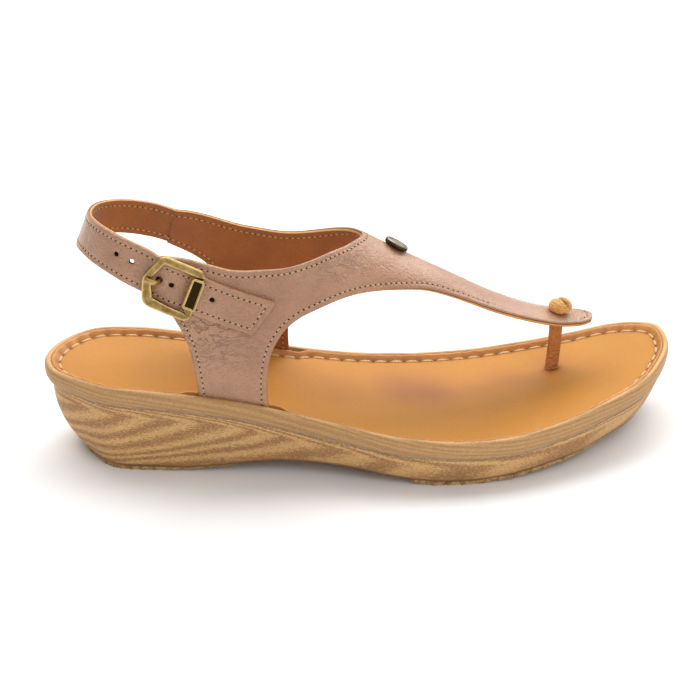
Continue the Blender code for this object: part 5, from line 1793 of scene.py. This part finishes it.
class SANDAL_OT_pads(bpy.types.Operator):
    """Thin rubber outsole pads with a trimmed edge and cross grooves underneath."""
    bl_idname = "sandal.pads"
    bl_label = "Outsole Pads"

    def execute(self, context):
        look = context.scene.sandal_sole
        plan = sole_plan(WEDGE_STEPS)
        foot = plan.edge + plan.inward * (wall_shape(plan).taper + PAD_INSET)[:, None]
        half = len(foot) // 2
        lateral = foot[:half + 1]
        medial = np.vstack([foot[half:], foot[:1]])[::-1]
        finish = rubber_finish()
        random = np.random.default_rng(PAD_SEED)
        across = np.concatenate([np.linspace(-1.0, 1.0, PAD_ROW), np.linspace(1.0, -1.0, PAD_ROW)])
        underneath = np.arange(len(across)) < PAD_ROW
        heel_back = foot[:, 0].min() + PAD_INSET
        for name, node, back, front in (
                ("heel_outsole", "heel_pad", heel_back, HEEL_PAD_FRONT),
                ("forefoot_outsole", "forefoot_pad", FOREFOOT_PAD_BACK, FOREFOOT_PAD_FRONT)):
            stations = np.linspace(back, front, int((front - back) / PAD_STATION))
            ragged = random.normal(0.0, PAD_RAGGED, (len(stations), 2))
            rings = []
            for x, rough in zip(stations, ragged):
                sides = [np.interp(x, side[:, 0], side[:, 1]) for side in (lateral, medial)]
                middle, reach = 0.5 * (sides[0] + sides[1]), 0.5 * (sides[1] - sides[0])
                top = float(wedge_bottom(x)) - GAP
                thick = float(pad_thickness(x))
                width = reach + np.where(across < 0, rough[0], rough[1]) * (np.abs(across) == 1.0)
                y = middle + across * width
                groove = np.sin(math.pi * x / (look.tread_pitch / MM)) ** TREAD_SHARPNESS
                rise = TREAD_DEPTH * thick * groove * (np.abs(across) < TREAD_REACH)
                z = np.where(underneath, top - thick + rise, top)
                rings.append(np.column_stack([np.full(len(across), x), y, z]))
            points, faces = capped_loft(rings)
            piece = skin_object(name, points, faces, [finish])
            piece.data.set_sharp_from_angle(angle=PAD_SHARP)
            dress(piece, "pad_rubber", node)
        return {"FINISHED"}


class SANDAL_OT_wedge(bpy.types.Operator):
    """Wedge sole with its cup, proud rim band, grooves and figured wall."""
    bl_idname = "sandal.wedge"
    bl_label = "Wedge Sole"

    def execute(self, context):
        plan = sole_plan(WEDGE_STEPS)
        wall = wall_shape(plan)
        lean = CUP_LEAN * wall.tuck
        rings = [ring(plan, plan.breadth * share, cup_floor) for share in (1.0, 0.5)]
        rings.append(ring(plan, RIM_WIDTH + lean * CUP_DEPTH, cup_floor))
        for point in CUP_LIP:
            rings.append(ring(plan, point.inset + lean * point.drop, under_rim(point.drop)))
        for point in RIM_PROFILE:
            inset = point.inset + wall.tuck * tuck_share(point.drop)
            rings.append(ring(plan, inset, under_rim(point.drop)))
        wall_top = RIM_PROFILE[-1].inset + wall.tuck
        for share in np.linspace(0.0, 1.0, WALL_RINGS + 1)[1:]:
            inset = wall_top + (wall.taper - wall_top) * share ** wall.power
            rings.append(ring(plan, inset, wall_height(share)))
        for share in (0.6, 1.0):
            rings.append(ring(plan, np.maximum(wall.taper, plan.breadth * share), wedge_bottom))
        points, faces = loft(rings)
        x, z = points[:, 0], points[:, 2]
        below = rim_height(x) - FIGURE_AXIS_DROP - z
        tip = x + np.interp(below, [p.below for p in FIGURE_ARC], [p.back for p in FIGURE_ARC])
        figure = np.interp(tip, FIGURE_TIPS, np.arange(len(FIGURE_TIPS)))
        marks = {"figure": figure, "drop": (rim_height(x) - z) * MM, "above": (z - wedge_bottom(x)) * MM}
        piece = skin_object("figured_wedge", points, faces, [wood_finish()], marks=marks)
        dress(piece, "wedge_woodgrain", "wedge_sole")
        return {"FINISHED"}


class SANDAL_OT_insole(bpy.types.Operator):
    """Footbed with its pinched lip, dished middle and a darker ball that is worn and painted with shade;
    painted shade also in the lip's groove and pinches and in the dent round the toe post.
    """
    bl_idname = "sandal.insole"
    bl_label = "Insole"

    def execute(self, context):
        plan = sole_plan(INSOLE_STEPS)
        rings, pinch = insole_rings(plan)
        points, faces = loft(rings)
        count = len(plan.edge)
        base = post_path()
        depth, reach = POST_DENT
        level = np.argmin(np.abs(base[:, 2] - rim_height(POST_X) - LIP[-1].rise))
        from_post = np.linalg.norm(points[:, :2] - base[level, :2], axis=1)
        top_side = np.arange(len(points)) >= UNDERSIDE_RINGS * count
        dent = np.where(top_side, bump(from_post, reach), 0.0)
        points[:, 2] -= depth * dent
        # painted shade in the dent round the toe post
        pinch = np.maximum(np.concatenate(pinch), POST_DENT_SHADE * dent)
        row = np.arange(len(faces)) // count
        kinds = np.where(row <= UNDERSIDE_RINGS + LIP_SEAM_ROW, 1, 0)
        marks = {"pinch": pinch, "worn": patch_share(points[:, :2], WORN_AND_SHADED)}
        piece = skin_object("footbed", points, faces, [footbed_finish(), lip_finish()], kinds, marks)
        dress(piece, "footbed_leather", "insole")
        return {"FINISHED"}


class SANDAL_OT_lip_stitches(bpy.types.Operator):
    """Thick hand stitches in the groove of the insole's lip."""
    bl_idname = "sandal.lip_stitches"
    bl_label = "Lip Stitches"

    def execute(self, context):
        look = context.scene.sandal_stitch
        plan = sole_plan(INSOLE_STEPS)
        path, stitch = lip_seam(plan)
        facing = np.column_stack([plan.inward, np.full(len(path), LIP_STITCH_TILT)])
        count = round(float(stitch[-1]))
        fine = np.linspace(0.0, count, count * LIP_STITCH_POINTS + 1)
        at = np.append(stitch, count)
        rows = np.hstack([path, facing])
        rows = np.vstack([rows, rows[:1]])
        rows = np.column_stack([np.interp(fine, at, column) for column in rows.T])
        points, facing = rows[:, :3], unit(rows[:, 3:])
        piece = path_object("lip_stitches", [(points + (0.0, 0.0, LIP_STITCH_LIFT), facing)])
        sew(piece, {"Pitch": chord_lengths(points)[-1] / count * MM,
                    "Stitch Length": look.lip_stitch_length,
                    "Stitch Width": look.lip_stitch_width,
                    "Hole Width": LIP_HOLE_SHARE * look.lip_stitch_width,
                    "Thread": thread_finish("lip_thread", look.lip_thread_colour),
                    "Needle Hole": needle_finish()})
        dress(piece, "footbed_leather")
        return {"FINISHED"}


class SANDAL_OT_quarters(bpy.types.Operator):
    """T-strap and both quarters as one lined leather wall, with its creases."""
    bl_idname = "sandal.quarters"
    bl_label = "T-strap and Quarters"

    def execute(self, context):
        points, faces, kinds = leather_panel(QuarterDrawing)
        creased = np.where(points[:, 1] < 0.0, patch_share(points[:, [0, 2]], CREASED), 0.0)
        marks = {"creased": creased}
        piece = skin_object("t_strap_quarters", points, faces, panel_finishes(), kinds, marks)
        dress(piece, "upper_leather", "upper")
        return {"FINISHED"}


class SANDAL_OT_heel_strap(bpy.types.Operator):
    """Sling-back heel strap with its slanted tip and punched holes."""
    bl_idname = "sandal.heel_strap"
    bl_label = "Heel Strap"

    def execute(self, context):
        points, faces, kinds = leather_panel(StrapDrawing)
        for hole, loop in zip(STRAP_HOLES, StrapDrawing.holes()):
            # a closed hole gets a dark floor of painted shade
            if hole.closed:
                faces.append(tuple(range(len(points), len(points) + len(loop))))
                kinds.append(PUNCHED_SHADE)
                floor = StrapDrawing.surface(loop) - HOLE_SHADE_FLOOR * StrapDrawing.facing(loop)
                points = np.vstack([points, floor])
        piece = skin_object("heel_strap_leather", points, faces, panel_finishes(), kinds)
        dress(piece, "upper_leather", "upper")
        return {"FINISHED"}


class SANDAL_OT_edge_stitches(bpy.types.Operator):
    """Fine seams along the edges of quarters and straps, outside and on the lining."""
    bl_idname = "sandal.edge_stitches"
    bl_label = "Edge Stitches"

    def execute(self, context):
        sew_edges("outer_seams", (QuarterDrawing, StrapDrawing), False)
        sew_edges("lining_seams", (QuarterDrawing, StrapDrawing), True)
        return {"FINISHED"}


class SANDAL_OT_toe_post(bpy.types.Operator):
    """Leather toe post between the toes, with its split knot on top."""
    bl_idname = "sandal.toe_post"
    bl_label = "Toe Post"

    def execute(self, context):
        halves = (0.5 * POST_WIDTH, 0.5 * POST_THICKNESS)
        post, post_faces = tube(post_path(), halves, POST_SIDES, square=POST_SQUARE)
        strap_top = float(last_surface(POST_X, 0.0)[2])
        slope = 0.5 * float(last_surface(POST_X + 1, 0.0)[2] - last_surface(POST_X - 1, 0.0)[2])
        rise = strap_top + 1.5 * GAP + KNOT_SEAT * KNOT_SIZE[2] + slope * KNOT_SHIFT[0]
        middle = np.array([POST_X + KNOT_SHIFT[0], POST_Y + KNOT_SHIFT[1], rise])
        knot, knot_faces, slit = knot_skin(middle, slope)
        faces = post_faces + [tuple(i + len(post) for i in face) for face in knot_faces]
        # painted shade in the knot's slit
        marks = {"pinch": np.concatenate([np.zeros(len(post)), slit])}
        look = context.scene.sandal_leather
        finishes = [thong_finish("thong_tan", look.thong_colour),
                    thong_finish("knot_tan", look.knot_colour)]
        kinds = [0] * len(post_faces) + [1] * len(knot_faces)
        piece = skin_object("thong_and_knot", np.vstack([post, knot]), faces, finishes, kinds, marks)
        dress(piece, "thong_leather", "toe_post")
        return {"FINISHED"}


class SANDAL_OT_buckle(bpy.types.Operator):
    """Centre-bar buckle: bevelled frame, prong and plain plate."""
    bl_idname = "sandal.buckle"
    bl_label = "Buckle"

    def execute(self, context):
        finish = brass_finish("antique_brass_worn", context.scene.sandal_metal.brass_colour)
        make_frame(finish)
        make_prong(finish)
        make_plate(finish)
        return {"FINISHED"}


class SANDAL_OT_stud(bpy.types.Operator):
    """Turned metal stud on the instep: a dark side that is partly painted shade, a bright rim that is
    partly a painted highlight, and a flat, slightly sunk top.
    """
    bl_idname = "sandal.stud"
    bl_label = "Stud"

    def execute(self, context):
        x, turn = np.array(STUD_X), np.array(STUD_TURN)
        middle = last_surface(x, turn)
        outward = last_normal(x, turn)
        along = unit(np.cross(np.array([0.0, 1.0, 0.0]), outward))
        across = np.cross(outward, along)
        circle = unit_circle(STUD_SIDES) @ np.array([along, across])
        rings = [middle + (STUD_RADIUS - row.inset) * circle + (STUD_HEIGHT - row.drop) * outward
                 for row in STUD_PROFILE]
        points, faces = capped_loft(rings)
        rubbed = np.repeat([row.rubbed for row in STUD_PROFILE], STUD_SIDES)
        finish = brass_finish("worn_stud", context.scene.sandal_metal.stud_colour)
        piece = skin_object("brass_stud", points, faces, [finish], marks={"rubbed": rubbed})
        dress(piece, "antique_brass", "instep_stud")
        return {"FINISHED"}


class SANDAL_PT_panel(bpy.types.Panel):
    """Sizes, colours and pieces of the sandal."""
    bl_idname = "SANDAL_PT_panel"
    bl_label = "T-strap Sandal"
    bl_space_type = "VIEW_3D"
    bl_region_type = "UI"
    bl_category = "Sandal"

    def draw(self, context):
        for name, settings in SETTINGS:
            box = self.layout.box()
            box.label(text=settings.__doc__)
            for key in settings.__annotations__:
                box.prop(getattr(context.scene, name), key)
        for operator in OPERATORS:
            self.layout.operator(operator.bl_idname)


SETTINGS = (("sandal_sole", SandalSoleSettings), ("sandal_leather", SandalLeatherSettings),
            ("sandal_stitch", SandalStitchSettings), ("sandal_metal", SandalMetalSettings),
            ("sandal_stage", SandalStageSettings))
OPERATORS = (SANDAL_OT_stage, SANDAL_OT_pads, SANDAL_OT_wedge, SANDAL_OT_insole, SANDAL_OT_lip_stitches,
             SANDAL_OT_quarters, SANDAL_OT_heel_strap, SANDAL_OT_edge_stitches, SANDAL_OT_toe_post,
             SANDAL_OT_buckle, SANDAL_OT_stud)


def register():
    """Adds the settings, the operators and the panel to Blender."""
    for name, settings in SETTINGS:
        bpy.utils.register_class(settings)
        setattr(bpy.types.Scene, name, PointerProperty(type=settings))
    for operator in OPERATORS:
        bpy.utils.register_class(operator)
    bpy.utils.register_class(SANDAL_PT_panel)


def unregister():
    """Takes everything out again."""
    bpy.utils.unregister_class(SANDAL_PT_panel)
    for operator in reversed(OPERATORS):
        bpy.utils.unregister_class(operator)
    for name, settings in reversed(SETTINGS):
        delattr(bpy.types.Scene, name)
        bpy.utils.unregister_class(settings)


def main():
    """Registers the add-on and makes every piece in order."""
    register()
    bpy.ops.sandal.stage()
    bpy.ops.sandal.pads()
    bpy.ops.sandal.wedge()
    bpy.ops.sandal.insole()
    bpy.ops.sandal.lip_stitches()
    bpy.ops.sandal.quarters()
    bpy.ops.sandal.heel_strap()
    bpy.ops.sandal.edge_stitches()
    bpy.ops.sandal.toe_post()
    bpy.ops.sandal.buckle()
    bpy.ops.sandal.stud()


if __name__ == "__main__":
    main()
